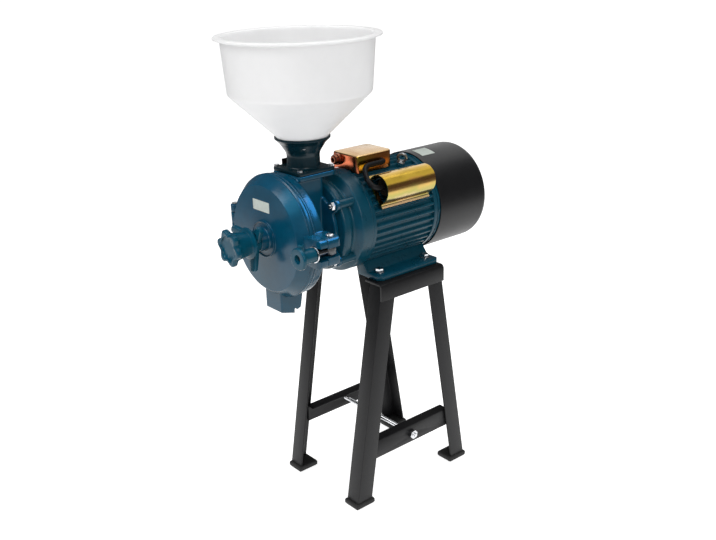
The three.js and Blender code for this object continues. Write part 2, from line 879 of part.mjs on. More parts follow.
function capacitorCan() {
  const middle = cap.start + cap.length / 2;
  const can = revolve([
    [0, -cap.canLength / 2],
    [cap.canRadius - cap.wall, -cap.canLength / 2],
    [cap.canRadius, -cap.canLength / 2 + cap.wall],
    [cap.canRadius, cap.canLength / 2 - cap.wall],
    [cap.canRadius - cap.wall, cap.canLength / 2],
    [0, cap.canLength / 2],
  ], sides.small);
  return onCapacitorSide(can.translate(0, middle, canAxis));
}

// The lead leaves the box squarely, bows forward along its side and enters the cover's open end
function leadGeometry() {
  const side = box.halfX + gap;
  const boxFront = box.offset - box.halfY;
  const canX = canAxis * Math.cos(cap.angle * degree);
  const canZ = canAxis * Math.sin(cap.angle * degree);
  const canFront = cap.start + (cap.length - cap.canLength) / 2 - gap;
  const path = new THREE.CatmullRomCurve3([
    new THREE.Vector3(side, lead.y, leadLevel),
    new THREE.Vector3(side + lead.stub, lead.y, leadLevel),
    new THREE.Vector3(side + lead.bow, lead.y - lead.bow, leadLevel),
    new THREE.Vector3(side + lead.bow, boxFront + lead.bow, leadLevel),
    new THREE.Vector3((side + lead.bow + canX) / 2, cap.start - 2 * lead.radius, (leadLevel + canZ) / 2),
    new THREE.Vector3(canX, canFront - lead.bow, canZ),
    new THREE.Vector3(canX, canFront, canZ),
  ]);
  return new THREE.ExtrudeGeometry(shapeOf(polygon(lead.radius, sides.hex)), {
    steps: 2 * sides.screw,
    extrudePath: path,
  });
}

function eyeBolt() {
  const seat = finTip + eye.seatHeight + gap;
  const centre = seat + eye.rise;
  const loop = rod(eye.ring, -eye.thickness / 2, eye.thickness / 2, sides.small);
  const shoulder = rod(eye.collar, seat, seat + eye.hole / 2, sides.small, 'z');
  const stem = rod(eye.stem, motor.coreRadius + gap, centre, sides.screw, 'z');
  const hole = rod(eye.hole, -eye.ring, eye.ring, sides.small);
  const bolt = cut(join(loop.translate(0, 0, centre), shoulder, stem), hole.translate(0, 0, centre));
  return onEyeSide(bolt.rotateZ(eye.turn * degree));
}

function footBolt() {
  const seat = -motor.shaftHeight + gap + foot.plate + gap;
  const underside = -motor.shaftHeight - stand.steel - bolt.reach;
  const hexHead = raise(polygon(bolt.headRadius, sides.hex), seat + bolt.washer / 2, seat + bolt.washer + bolt.headHeight);
  return join(
    rod(bolt.radius, underside, seat + bolt.washer, sides.screw, 'z'),
    rod(bolt.washerRadius, seat, seat + bolt.washer, sides.small, 'z'),
    hexHead,
  );
}

function buildMotor(group) {
  part(group, 'motor_frame', motorFrame(), 'millPaint');
  part(group, 'stator', statorGeometry(), 'copper');
  const rotorLow = motor.offset - rotor.length / 2;
  const rotorRadius = stator.innerRadius - rotor.airGap;
  part(group, 'rotor', ring(shaft.body + gap, rotorRadius, rotorLow, rotorLow + rotor.length, sides.medium), 'iron');
  part(group, 'shaft', shaftGeometry(), 'steel');
  part(group, 'front_bearing', bearingGeometry(frontBearing, shaft.frontSeat, bearingShoulder + gap), 'steel');
  part(group, 'rear_bearing', bearingGeometry(rearBearing, shaft.rearSeat, shieldFront + gap), 'steel');
  part(group, 'front_bell', bellGeometry(), 'millPaint');
  part(group, 'rear_shield', rearShieldGeometry(), 'millPaint');
  part(group, 'cooling_fan', fanGeometry(), 'blackPlastic');
  part(group, 'fan_cover', cowlGeometry(), 'cowlPaint');
  part(group, 'terminal_box', terminalBox(), 'zinc');
  part(group, 'terminal_board', terminalBoard(), 'blackPlastic');
  part(group, 'cable_gland', glandGeometry(), 'zinc');
  part(group, 'capacitor', capacitorCan(), 'blackPlastic');
  part(group, 'capacitor_cover', capacitorCover(), 'zinc');
  part(group, 'capacitor_lead', leadGeometry(), 'blackPlastic');
  part(group, 'lifting_eye', eyeBolt(), 'steel');
  for (const [side, x] of [['near', foot.boltX], ['far', -foot.boltX]]) {
    for (const [end, y] of [['front', -foot.boltY], ['rear', foot.boltY]]) {
      part(group, `foot_bolt_${side}_${end}`, footBolt(), 'chrome').position.set(x, y, 0);
    }
  }
}

// Grinding head: chamber housing with inlet, chute, clamp fork and hinge lugs
function chamberRing() {
  const rim = head.radius + head.rimLip;
  const flangeFront = headRear - head.flange;
  const coneEnd = (bandRear + flangeFront) / 2;
  return revolve([
    [cavityRadius, parting],
    [rim, parting],
    [rim, parting + head.rimWidth],
    [head.radius, parting + head.rimWidth + head.rimLip],
    [head.radius, bandRear - head.wall / 2],
    [head.radius - head.wall / 2, bandRear],
    [head.coneRadius, bandRear],
    [head.barrelRadius + head.wall, coneEnd],
    [head.barrelRadius, coneEnd + head.wall],
    [head.barrelRadius, flangeFront],
    [head.flangeRadius, flangeFront],
    [head.flangeRadius, headRear],
    [shaft.frontSeat + shaftRunning, headRear],
    [shaft.frontSeat + shaftRunning, headRear - head.rearWall],
    [head.boreRadius, headRear - head.rearWall],
    [head.boreRadius, floorFace],
    [cavityRadius - head.wall / 2, floorFace],
    [cavityRadius, floorFace - head.wall / 2],
  ], sides.large);
}

function studEars() {
  const low = headRear - head.flange;
  return studPlaces().map(([x, z]) => {
    const reach = Math.hypot(x, z);
    const arm = block(head.barrelRadius + head.wall, reach, low, headRear, -stud.earRadius, stud.earRadius);
    const eyeRound = rod(stud.earRadius, low, headRear, sides.screw).translate(reach, 0, 0);
    return join(arm, eyeRound).rotateY(-Math.atan2(z, x));
  });
}

function chuteOuter() {
  const front = parting - chute.reach;
  return block(-chute.halfWidth, chute.halfWidth, front, front + chute.depth, -chute.bottom, -chute.top);
}

function clampFork() {
  const low = parting + gap;
  const back = pivotY + swing.forkBack;
  const side = clamp.x + clamp.side;
  const outline = [
    [clamp.root, low],
    [side, low],
    ...arc(side - clamp.side / 2, back - clamp.side / 2, clamp.side / 2, 0, quarter),
    [clamp.root, back],
  ];
  const body = raise(outline, clamp.z - clamp.halfHeight, clamp.z + clamp.halfHeight, clamp.side / 8);
  const mouth = swing.eyeHeight / 2 + gap;
  return cut(
    body,
    block(clamp.x - swing.eye - overrun / 2, side + overrun, low - overrun, back + overrun,
      clamp.z - mouth, clamp.z + mouth),
    rod(swing.pin + gap, clamp.z - clamp.halfHeight - overrun, clamp.z + clamp.halfHeight + overrun,
      sides.screw, 'z').translate(clamp.x, pivotY, 0),
  );
}

function hingeKnuckle(low, high, y0, y1) {
  const arm = block(-hinge.x, -cavityRadius - head.wall / 2, y0, y1, low, high);
  const barrel = rod(hinge.knuckle, low, high, sides.small, 'z').translate(-hinge.x, parting, 0);
  const hole = rod(hinge.pin + gap, low - overrun, high + overrun, sides.screw, 'z');
  return { body: join(arm, barrel), hole: hole.translate(-hinge.x, parting, 0) };
}

function throatCutter() {
  const outline = roundedRectangle(throat.halfX, throat.halfY, throat.corner, 0, inletY);
  return raise(outline, 0, inlet.height + overrun);
}

function chamberHousing() {
  const middle = hinge.middle / 2;
  const upper = hingeKnuckle(hinge.z + middle + gap, hinge.z + hinge.height / 2, parting, parting + hinge.arm);
  const lower = hingeKnuckle(hinge.z - hinge.height / 2, hinge.z - middle - gap, parting, parting + hinge.arm);
  const flangeSquare = roundedRectangle(inlet.half, inlet.half, inlet.corner, 0, inletY);
  const body = join(
    chamberRing(),
    ...studEars(),
    block(-head.blockHalf, head.blockHalf, bandRear - head.wall, headRear, 0, inlet.height - inlet.plate / 2),
    raise(flangeSquare, inlet.height - inlet.plate, inlet.height),
    chuteOuter(),
    clampFork(),
    upper.body,
    lower.body,
  );
  const chuteFront = parting - chute.reach;
  const coverSweep = head.radius + head.rimLip + gap;
  const screws = collarScrewPlaces().map(([x, y]) => placed(
    rod(flangeScrew.radius + gap, inlet.height - inlet.plate - overrun, inlet.height + overrun, sides.screw, 'z'),
    x,
    y + inletY,
  ));
  const studHoles = studPlaces().map(([x, z]) => placed(
    rod(stud.radius + gap, headRear - head.flange - overrun, headRear + overrun, sides.screw),
    x,
    0,
    z,
  ));
  return cut(
    body,
    rod(cavityRadius, chuteFront - overrun, floorFace - head.wall / 2, sides.large),
    rod(coverSweep, chuteFront - overrun, parting, sides.large),
    rod(head.boreRadius, floorFace - overrun, headRear - head.rearWall, sides.medium),
    rod(shaft.frontSeat + shaftRunning, headRear - head.rearWall - overrun, headRear + overrun, sides.small),
    throatCutter(),
    block(-chute.halfWidth + chute.wall, chute.halfWidth - chute.wall, chuteFront + chute.wall,
      chuteFront + chute.depth - chute.wall, -chute.bottom - overrun, -chute.top + overrun),
    upper.hole,
    lower.hole,
    ...screws,
    ...studHoles,
  );
}

function frontCover() {
  const rim = head.radius + head.rimLip;
  const face = coverFace;
  const bossFace = face - cover.bossHeight;
  const bore = spindle.radius + gap;
  const shell = revolve([
    [bore, hubFace],
    [cover.hubRadius - cover.bossHeight / 2, hubFace],
    [cover.hubRadius, hubFace + cover.bossHeight / 2],
    [cover.hubRadius + cover.bossHeight / 2, bossFace + cover.bossHeight / 2],
    [cover.bossRadius - cover.bossHeight, bossFace + cover.bossHeight / 2],
    [cover.bossRadius - cover.bossHeight, bossFace],
    [cover.bossRadius - cover.bossHeight / 2, bossFace],
    [cover.bossRadius, face],
    ...arc(head.radius - cover.edge, face + cover.edge, cover.edge, -quarter, 0),
    [head.radius, coverBack - head.rimWidth - head.rimLip],
    [rim, coverBack - head.rimWidth],
    [rim, coverBack],
    [cavityRadius, coverBack],
    [cavityRadius, cavityFace + cover.wall / 2],
    [cavityRadius - cover.wall / 2, cavityFace],
    [bore, cavityFace],
  ], sides.large);
  const middle = hinge.middle / 2;
  const knuckle = hingeKnuckle(hinge.z - middle, hinge.z + middle, coverBack - hinge.arm, coverBack);
  const pins = [-1, 1].map((side) => placed(
    rod(cover.pinRadius, cavityFace - cover.wall / 2, pinTip, sides.screw),
    side * cover.pinPitch,
  ));
  const chuteFront = parting - chute.reach;
  const openingSide = chute.halfWidth - chute.wall;
  return cut(
    join(shell, knuckle.body, coverEar(), ...pins),
    block(-openingSide, openingSide, chuteFront + chute.wall, coverBack + overrun,
      -rim - overrun, -cavityRadius + head.wall),
    rod(cavityRadius, cavityFace + cover.wall / 2, coverBack + overrun, sides.large),
    knuckle.hole,
  );
}

// The clamp ear has a nose turned about the swing bolt's pivot, so the hand nut rolls off it
function coverEar() {
  const side = clamp.side;
  const start = -quarter + Math.asin(side / clamp.nose) / degree;
  const nose = arc(clamp.x, pivotY, clamp.nose, start, -quarter);
  const outline = [
    [clamp.root, coverBack],
    [clamp.x + side, coverBack],
    ...nose,
    [clamp.root, pivotY - clamp.nose],
  ];
  const body = raise(outline, clamp.z - clamp.halfHeight, clamp.z + clamp.halfHeight, side / 8);
  const slot = [
    ...arc(clamp.x, clamp.z, clamp.slot, quarter, half + quarter, sides.hex),
    [clamp.x + side + overrun, clamp.z - clamp.slot],
    [clamp.x + side + overrun, clamp.z + clamp.slot],
  ];
  return cut(body, drawY(slot, pivotY - clamp.nose - overrun, coverBack + overrun));
}

function discGrooves(y0, y1) {
  const cutters = [];
  for (let i = 0; i < disc.grooves; i += 1) {
    const groove = block(rotary.eye + rotary.land, disc.radius + overrun, y0, y1, -disc.groove / 2, disc.groove / 2);
    cutters.push(groove.rotateY((full * (i + 1 / 2) * degree) / disc.grooves));
  }
  return cutters;
}

function rotaryDisc() {
  const spokes = [];
  for (let i = 0; i < rotary.spokes; i += 1) {
    const spoke = block(rotary.hub - rotary.land / 2, rotary.eye + rotary.land / 2,
      rotaryFront + disc.grooveDepth, rotaryRear, -rotary.spoke / 2, rotary.spoke / 2);
    spokes.push(spoke.rotateY((full * i * degree) / rotary.spokes));
  }
  const body = join(
    ring(rotary.eye, disc.radius, rotaryFront, rotaryRear, sides.large),
    ring(shaft.discSeat + gap, rotary.hub, rotaryFront + disc.grooveDepth, rotaryHubRear, sides.small),
    ...spokes,
  );
  return cut(body, ...discGrooves(rotaryFront - overrun, rotaryFront + disc.grooveDepth));
}

function fixedDiscGeometry() {
  const front = grindFace - disc.thickness;
  const body = ring(fixedDisc.eye, disc.radius, front, grindFace, sides.large);
  return cut(body, ...discGrooves(grindFace - disc.grooveDepth, grindFace + overrun));
}

function pressurePlate() {
  const body = rod(plate.radius, plateFace, plateRear, sides.medium);
  const holes = [-1, 1].map((side) => placed(
    rod(cover.pinRadius + gap, plateFace - overrun, plateRear + overrun, sides.screw),
    side * cover.pinPitch,
  ));
  return cut(body, ...holes);
}

// Feed screw: a cam section drawn along the shaft and twisted evenly into one helical flight
function feedScrew() {
  const front = rotaryHubRear + gap;
  const rear = headRear - head.rearWall - auger.rear;
  const spread = auger.vane / 2;
  const section = [
    ...arc(0, 0, auger.radius, -spread, spread),
    ...arc(0, 0, auger.core, spread + auger.vane / 3, full - spread - auger.vane / 3, sides.screw),
  ];
  const length = rear - front;
  const drawn = new THREE.ExtrudeGeometry(shapeOf(section), {
    depth: length,
    steps: auger.steps,
    bevelEnabled: false,
  });
  const position = drawn.attributes.position;
  const point = new THREE.Vector3();
  const upright = new THREE.Vector3(0, 0, 1);
  for (let i = 0; i < position.count; i += 1) {
    point.fromBufferAttribute(position, i);
    point.applyAxisAngle(upright, (full * degree * point.z) / auger.pitch);
    position.setXYZ(i, point.x, point.y, point.z);
  }
  const flight = drawn.rotateX(quarter * degree).translate(0, rear, 0);
  return cut(flight, rod(shaft.augerSeat + gap, front - overrun, rear + overrun, sides.small));
}

function lobedOutline(mean, swell, lobes, phase) {
  const points = [];
  const count = lobes * sides.hex;
  for (let i = 0; i < count; i += 1) {
    const angle = (full * i) / count;
    const radius = mean + swell * Math.cos((angle - phase) * lobes * degree);
    points.push([radius * Math.cos(angle * degree), radius * Math.sin(angle * degree)]);
  }
  return points;
}

function adjustingKnob() {
  const rear = knobRear;
  const front = knobFace;
  const body = join(
    drawY(lobedOutline(knob.lobeMean, knob.lobe, knob.lobes, knob.phase), front, front + knob.rim, knob.bevel),
    rod(knob.barrel, front + knob.rim / 2, rear, sides.medium),
    revolve([
      [0, rear - knob.skirtWidth],
      [knob.barrel, rear - knob.skirtWidth],
      [knob.skirt, rear - knob.skirtWidth / 2],
      [knob.skirt, rear],
      [0, rear],
    ], sides.medium),
  );
  return cut(
    body,
    ring(knob.boss, knob.recess, front - overrun, front + knob.recessDepth, sides.medium),
    rod(spindle.radius + gap, front + spindle.buried, rear + overrun, sides.small),
  );
}

function spindleGeometry() {
  const front = knobFace + spindle.buried + gap;
  return rod(spindle.radius, front, plateFace - gap, sides.small);
}

function lockWheel() {
  const arms = [];
  for (let i = 0; i < lock.arms; i += 1) {
    const outline = [
      [0, -lock.armHalf],
      ...arc(lock.arm - lock.tip, lock.tip - lock.armHalf, lock.tip, -quarter, 0),
      ...arc(lock.arm - lock.tip, lock.armHalf - lock.tip, lock.tip, 0, quarter),
      [0, lock.armHalf],
    ];
    const arm = cut(
      drawY(outline, lockFront, lockFront + lock.armThickness, lock.bevel),
      block(lock.channelStart, lock.arm - lock.tip, lockFront - overrun, lockFront + lock.channelDepth,
        -lock.channelHalf, lock.channelHalf),
    );
    arms.push(arm.rotateY(-(lock.phase + (full * i) / lock.arms) * degree));
  }
  const hub = revolve([
    [0, lockFront],
    [lock.hub - lock.bevel, lockFront],
    [lock.hub, lockFront + lock.bevel],
    [lock.hub, lockRear - lock.bevel],
    [lock.hub - lock.bevel, lockRear],
    [0, lockRear],
  ], sides.small);
  return cut(join(hub, ...arms), rod(spindle.radius + gap, lockFront - overrun, lockRear + overrun, sides.small));
}

function swingBolt() {
  const eyeBody = rod(swing.eye, -swing.eyeHeight / 2, swing.eyeHeight / 2, sides.small, 'z');
  const shank = rod(swing.shank, -swing.length, -swing.pin, sides.screw);
  const hole = rod(swing.pin + gap, -swing.eyeHeight, swing.eyeHeight, sides.screw, 'z');
  return cut(join(eyeBody, shank), hole).translate(clamp.x, pivotY, clamp.z);
}

function pivotPin() {
  const top = clamp.halfHeight + gap;
  const pin = rod(swing.pin, -clamp.halfHeight - swing.pinHeadHeight / 2, top + swing.pinHeadHeight / 2, sides.screw, 'z');
  const cap = rod(swing.pinHead, top, top + swing.pinHeadHeight, sides.screw, 'z');
  return join(pin, cap).translate(clamp.x, pivotY, clamp.z);
}

function handNutGeometry() {
  const rear = nutSeat - washer.thickness - gap;
  const front = rear - handNut.length;
  const bore = swing.shank + gap;
  const body = revolve([
    [bore, front + handNut.mouthDepth],
    [handNut.mouth, front + handNut.mouthDepth / 2],
    [handNut.mouth, front],
    [handNut.flange - handNut.flangeWidth / 3, front],
    [handNut.flange, front + handNut.flangeWidth / 3],
    [handNut.flange, front + handNut.flangeWidth],
    [handNut.barrel, front + 2 * handNut.flangeWidth],
    [handNut.barrel, rear],
    [bore, rear],
  ], sides.small);
  const stubLow = (handNut.barrel + bore) / 2;
  const stub = rod(handNut.stub, stubLow, handNut.stubReach, sides.screw, 'z');
  const holeLow = handNut.stubReach - handNut.stubHoleDepth;
  const hole = rod(handNut.stubHole, holeLow, handNut.stubReach + overrun, sides.hex, 'z');
  const stubY = front + handNut.stubInset;
  return cut(join(body, stub.translate(0, stubY, 0)), hole.translate(0, stubY, 0))
    .translate(clamp.x, 0, clamp.z);
}

function hingePin() {
  const low = hinge.z - hinge.height / 2;
  const high = hinge.z + hinge.height / 2 + gap;
  const pin = rod(hinge.pin, low, high + hinge.headHeight / 2, sides.screw, 'z');
  const cap = rod(hinge.head, high, high + hinge.headHeight, sides.screw, 'z');
  return join(pin, cap).translate(-hinge.x, parting, 0);
}

function headStud() {
  const seat = headRear - head.flange - gap;
  const nut = drawY(polygon(stud.nutRadius, sides.hex), seat - stud.nutHeight, seat);
  const tip = seat - stud.nutHeight - stud.stickOut;
  return join(nut, rod(stud.radius, tip, bellFront + stud.sunk, sides.screw));
}

function buildHead(group) {
  part(group, 'chamber_housing', chamberHousing(), 'millPaint');
  part(group, 'front_cover', frontCover(), 'coverPaint');
  part(group, 'cover_hinge_pin', hingePin(), 'steel');
  part(group, 'rotary_disc', rotaryDisc(), 'iron');
  part(group, 'fixed_disc', fixedDiscGeometry(), 'iron');
  part(group, 'pressure_plate', pressurePlate(), 'steel');
  part(group, 'feed_screw', feedScrew(), 'iron');
  part(group, 'adjusting_spindle', spindleGeometry(), 'steel');
  part(group, 'adjusting_knob', adjustingKnob(), 'coverPaint');
  part(group, 'lock_wheel', lockWheel(), 'coverPaint');
  part(group, 'swing_bolt', swingBolt(), 'chrome');
  part(group, 'swing_bolt_pin', pivotPin(), 'chrome');
  const washerRing = ring(swing.shank + gap, washer.radius, nutSeat - washer.thickness, nutSeat, sides.small);
  part(group, 'clamp_washer', washerRing.translate(clamp.x, 0, clamp.z), 'chrome');
  part(group, 'hand_nut', handNutGeometry(), 'coverPaint');
  studPlaces().forEach(([x, z], i) => {
    const name = ['near_upper', 'far_upper', 'far_lower', 'near_lower'][i];
    part(group, `head_stud_${name}`, headStud(), 'chrome').position.set(x, 0, z);
  });
}

// Feed: collar on the inlet flange, gate between them, and the hopper seated in the collar's flare
function collarScrewPlaces() {
  const reach = inlet.half - collar.screwInset;
  return [[-reach, -reach], [reach, -reach], [reach, reach], [-reach, reach]];
}

function collarGeometry() {
  const flareTop = hopper.neckLevel + collar.flareHeight;
  const rimInner = neckBore + coneSlope * collar.flareHeight;
  const rimOuter = rimInner + collar.flareWall;
  const neckTop = hopper.neckLevel + (collar.neck - neckBore - collar.flareWall) / coneSlope;
  const horn = revolve([
    [neckBore, 0],
    [collar.neck, 0],
    [collar.neck, neckTop],
    [rimOuter - coneSlope * collar.lip, flareTop - collar.lip],
    [rimOuter, flareTop - collar.lip],
    [rimOuter, flareTop],
    [rimInner, flareTop],
    [neckBore, hopper.neckLevel],
  ], sides.large, 'z');
  const flange = raise(roundedRectangle(inlet.half, inlet.half, inlet.corner), 0, collar.base);
  const slotTop = gate.thickness + gap;
  const slotSide = gate.halfWidth + gap;
  const holes = collarScrewPlaces().map(([x, y]) => placed(
    rod(flangeScrew.radius + gap, -overrun, collar.base + overrun, sides.screw, 'z'),
    x,
    y,
  ));
  const setHole = rod(setScrew.radius + gap, neckBore, rimOuter, sides.screw)
    .rotateZ((setScrew.angle - quarter) * degree)
    .translate(0, 0, hopper.neckLevel + setScrew.rise);
  return cut(
    join(horn, flange),
    rod(neckBore, -overrun, hopper.neckLevel / 2, sides.large, 'z'),
    block(-inlet.half - overrun, gate.nose + gap, -slotSide, slotSide, -overrun, slotTop),
    setHole,
    ...holes,
  );
}

function feedGate() {
  const outer = inlet.half + gate.handle;
  const blade = block(-outer, gate.nose, -gate.halfWidth, gate.halfWidth, 0, gate.thickness);
  const narrow = block(-outer - overrun, -inlet.half - gap, gate.handleHalf, gate.halfWidth + overrun,
    -overrun, gate.rise);
  const otherSide = block(-outer - overrun, -inlet.half - gap, -gate.halfWidth - overrun, -gate.handleHalf,
    -overrun, gate.rise);
  const tab = block(-outer - gate.bend, -outer, -gate.handleHalf, gate.handleHalf, 0, gate.rise);
  return join(cut(blade, narrow, otherSide), tab);
}

function hopperGeometry() {
  const coneTop = hopper.neckLevel + hopper.coneHeight;
  const rimTop = coneTop + hopper.bodyHeight;
  const inner = -hopper.wall;
  const slopeWall = hopper.wall / Math.SQRT2;
  return revolve([
    [hopper.spout + inner, hopper.neckLevel - hopper.spoutLength],
    [hopper.spout, hopper.neckLevel - hopper.spoutLength],
    [hopper.spout, hopper.neckLevel],
    [hopper.bodyRadius - hopper.lip, coneTop - hopper.lip],
    [hopper.bodyRadius, coneTop],
    [hopper.topRadius, rimTop - hopper.lip],
    [hopper.lipRadius - hopper.lip / 2, rimTop - hopper.lip],
    [hopper.lipRadius, rimTop - hopper.lip / 2],
    [hopper.lipRadius - hopper.lip / 2, rimTop],
    [hopper.topRadius + inner, rimTop],
    [hopper.bodyRadius + inner, coneTop + slopeWall / 2],
    [hopper.spout + inner, hopper.neckLevel + slopeWall],
  ], sides.large, 'z');
}

function screwGeometry() {
  const head = raise(polygon(flangeScrew.headRadius, sides.hex), 0, flangeScrew.headHeight);
  const shank = rod(flangeScrew.radius, -flangeScrew.reach, flangeScrew.headHeight / 2, sides.screw, 'z');
  return join(head, shank);
}

// A headless screw through the flare; its tip stops just short of the hopper's cone
function setScrewGeometry() {
  const tip = hopper.spout + coneSlope * (setScrew.rise + setScrew.radius) + gap;
  const wallOuter = neckBore + coneSlope * setScrew.rise + collar.flareWall;
  return rod(setScrew.radius, tip, wallOuter + setScrew.radius + setScrew.stickOut, sides.screw)
    .rotateZ((setScrew.angle - quarter) * degree);
}

function buildFeed() {
  const group = new THREE.Group();
  group.position.set(0, inletY, inlet.height + gap);
  part(group, 'feed_collar', collarGeometry(), 'millPaint');
  part(group, 'feed_gate', feedGate(), 'blackSteel');
  part(group, 'hopper', hopperGeometry(), 'whitePlastic');
  const screw = part(group, 'hopper_set_screw', setScrewGeometry(), 'chrome');
  screw.position.z = hopper.neckLevel + setScrew.rise;
  collarScrewPlaces().forEach(([x, y], i) => {
    const name = ['far_front', 'near_front', 'near_rear', 'far_rear'][i];
    part(group, `collar_screw_${name}`, screwGeometry(), 'chrome').position.set(x, y, collar.base + gap);
  });
  return group;
}

// The whole mill, with its origin at the middle of its footprint on the floor
const mill = new THREE.Group();
mill.name = 'electric_grain_mill';
mill.add(buildStand());
const machine = new THREE.Group();
machine.position.z = axisHeight;
buildMotor(machine);
buildHead(machine);
machine.add(buildFeed());
mill.add(machine);
mill.updateMatrixWorld(true);
const bounds = new THREE.Box3().setFromObject(mill);
const centre = bounds.getCenter(new THREE.Vector3());
mill.position.set(-centre.x, -centre.y, -bounds.min.z);
mill.updateMatrixWorld(true);

export default mill;
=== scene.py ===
"""Looks of the electric grain mill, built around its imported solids.

Pieces are modelled in millimetres in the machine's own frame: the origin lies on the motor axis
above the middle of the foot bolts, +Y points to the fan cover and +Z up. show() turns that into
metres in the frame of the solids. Levels come from the solids themselves. Names that end in round
or edge say how corners are rounded, and those that end in over how far a body or tool runs past a face.
"""

import json
import math
from types import SimpleNamespace as sizes

import bmesh
import bpy
from mathutils import Matrix, Vector

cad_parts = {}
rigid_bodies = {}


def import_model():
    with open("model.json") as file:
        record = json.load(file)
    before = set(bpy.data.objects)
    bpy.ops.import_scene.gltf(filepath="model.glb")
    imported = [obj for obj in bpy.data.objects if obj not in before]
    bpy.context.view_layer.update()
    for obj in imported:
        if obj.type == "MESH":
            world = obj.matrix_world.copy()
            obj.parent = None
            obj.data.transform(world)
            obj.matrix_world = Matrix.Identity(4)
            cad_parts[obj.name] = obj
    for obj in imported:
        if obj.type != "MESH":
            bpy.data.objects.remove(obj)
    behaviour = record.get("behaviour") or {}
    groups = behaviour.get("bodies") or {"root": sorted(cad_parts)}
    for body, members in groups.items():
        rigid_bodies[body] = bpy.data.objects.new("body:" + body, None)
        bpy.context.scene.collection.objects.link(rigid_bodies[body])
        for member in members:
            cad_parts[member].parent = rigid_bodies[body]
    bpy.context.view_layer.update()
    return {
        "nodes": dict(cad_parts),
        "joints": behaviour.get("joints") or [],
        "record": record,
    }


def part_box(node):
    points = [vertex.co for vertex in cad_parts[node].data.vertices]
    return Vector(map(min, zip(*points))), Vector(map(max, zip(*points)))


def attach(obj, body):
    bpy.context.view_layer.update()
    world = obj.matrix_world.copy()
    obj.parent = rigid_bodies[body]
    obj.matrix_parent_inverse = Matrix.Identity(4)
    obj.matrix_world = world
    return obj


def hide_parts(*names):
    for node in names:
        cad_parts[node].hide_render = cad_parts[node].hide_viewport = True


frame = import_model()

MM = 0.001
JOINTS = {joint["name"]: joint for joint in frame["joints"]}
ORIGIN = Vector(JOINTS["shaft_spin"]["pos_m"])


def span(solid):
    """Lowest and highest corner of a solid, in millimetres of the machine's frame."""
    low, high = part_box(solid)
    return (Vector(low) - ORIGIN) / MM, (Vector(high) - ORIGIN) / MM


def reach(solid, axis):
    """Where a solid starts and ends along an axis."""
    low, high = span(solid)
    return getattr(low, axis), getattr(high, axis)


def joint_place(name):
    return (Vector(JOINTS[name]["pos_m"]) - ORIGIN) / MM


# Camera, fitted to the photograph, in the machine's frame
view = sizes(at=(1154.42, -1006.61, 456.48), turn=50.76, drop=20.85, roll=-1.83, lens=45.93, sensor=36.0,
             shift=(0.0133, 0.0102), near=0.05, far=100.0)

# Clearances that all pieces share
GAP = 0.3
OVER = 4.0

# Limits of the shape helpers
draft = sizes(weld=0.0005, copy_weld=0.001, flat_angle=1.0, axis_radius=1e-6, least_bend=0.03,
              corner_share=0.48, flat_share=0.87, dome_share=0.6, dome_clear=0.4, dome_low=0.1,
              dome_high=0.01, valley_share=0.45)

# Levels and places, from the solids and the joints
FRAME_FRONT, FRAME_REAR = reach("motor_frame", "y")
BELL_FRONT, BELL_REAR = reach("front_bell", "y")
COWL_FRONT, COWL_REAR = reach("fan_cover", "y")
HUB_FACE = reach("front_cover", "y")[0]
LOCK_FRONT, LOCK_REAR = reach("lock_wheel", "y")
KNOB_FACE, KNOB_REAR = reach("adjusting_knob", "y")
WASHER_FRONT, NUT_SEAT = reach("clamp_washer", "y")
NUT_FRONT, NUT_REAR = reach("hand_nut", "y")
PIVOT = joint_place("clamp_swing")
HINGE_Y = sum(reach("cover_hinge_pin", "y")) / 2
INLET_Y = joint_place("gate_slide").y
COLLAR_LOW, COLLAR_TOP = reach("feed_collar", "z")
BOX_TOP = reach("terminal_box", "z")[1]
FRAME_LOW = reach("motor_frame", "z")[0]
PLATE_REAR = reach("pressure_plate", "y")[1]

# Sizes of the motor
motor = sizes(core=79.0, bore=70.0, rim=85.0, rim_width=8.0, rim_inner=60.0, rim_round=1.4)
fin = sizes(count=40, tip=84.0, root_lean=2.6, tip_lean=1.25, root_round=2.2, tip_round=1.6)
foot = sizes(half_width=90.0, half_length=70.0, plate=8.0, plate_round=2.5, web_top=41.0, web_top_level=-62.0,
             web_bottom=58.0, web_inner=33.0, inner_level=-66.0, shelf_shift=2.0, shelf_round=7.0,
             web_round=5.0, inner_round=1.0, chamfer=11.0, bolt_x=70.0, bolt_y=53.0, edge=1.4)
bolt = sizes(washer_radius=8.4, washer=1.6, washer_round=0.4, sunk=0.2, head=7.0, head_height=5.5, shank=4.0,
             end=-107.0, thread_over=1.0, turn=17.0)
bell = sizes(ring=86.0, ring_width=22.0, ring_round=4.0, rear_round=1.0, bulge=77.0, bulge_width=13.0,
             bulge_round=5.0, waist=71.0, waist_round=8.0, wall=7.0, nose=8.0, hub=34.3, bore=13.2,
             hub_rear=23.0, boss_round=1.2)
cowl = sizes(radius=87.5, wall=1.5, corner=13.0, front_round=0.4)
slots = sizes(rings=3, per_ring=6, first=22.0, width=7.0, pitch=17.0, share=0.74, depth=6.0)
box = sizes(half_x=32.0, half_y=40.0, corner=10.0, edge=3.0, wall=1.5, setback=11.0, skirt=11.0, seat_x=22.0,
            seat_y=30.0, seat_rise=4.0, seat_edge=1.5, clear=1.0, top_band=2.0)
gland = sizes(radius=8.0, nut=10.0, nut_length=5.0, bore=4.0, length=12.0, x=-14.0, drop=11.0, taper=2.0,
              mouth_round=0.5, nut_round=0.6, rear_round=0.4, soft=0.2)
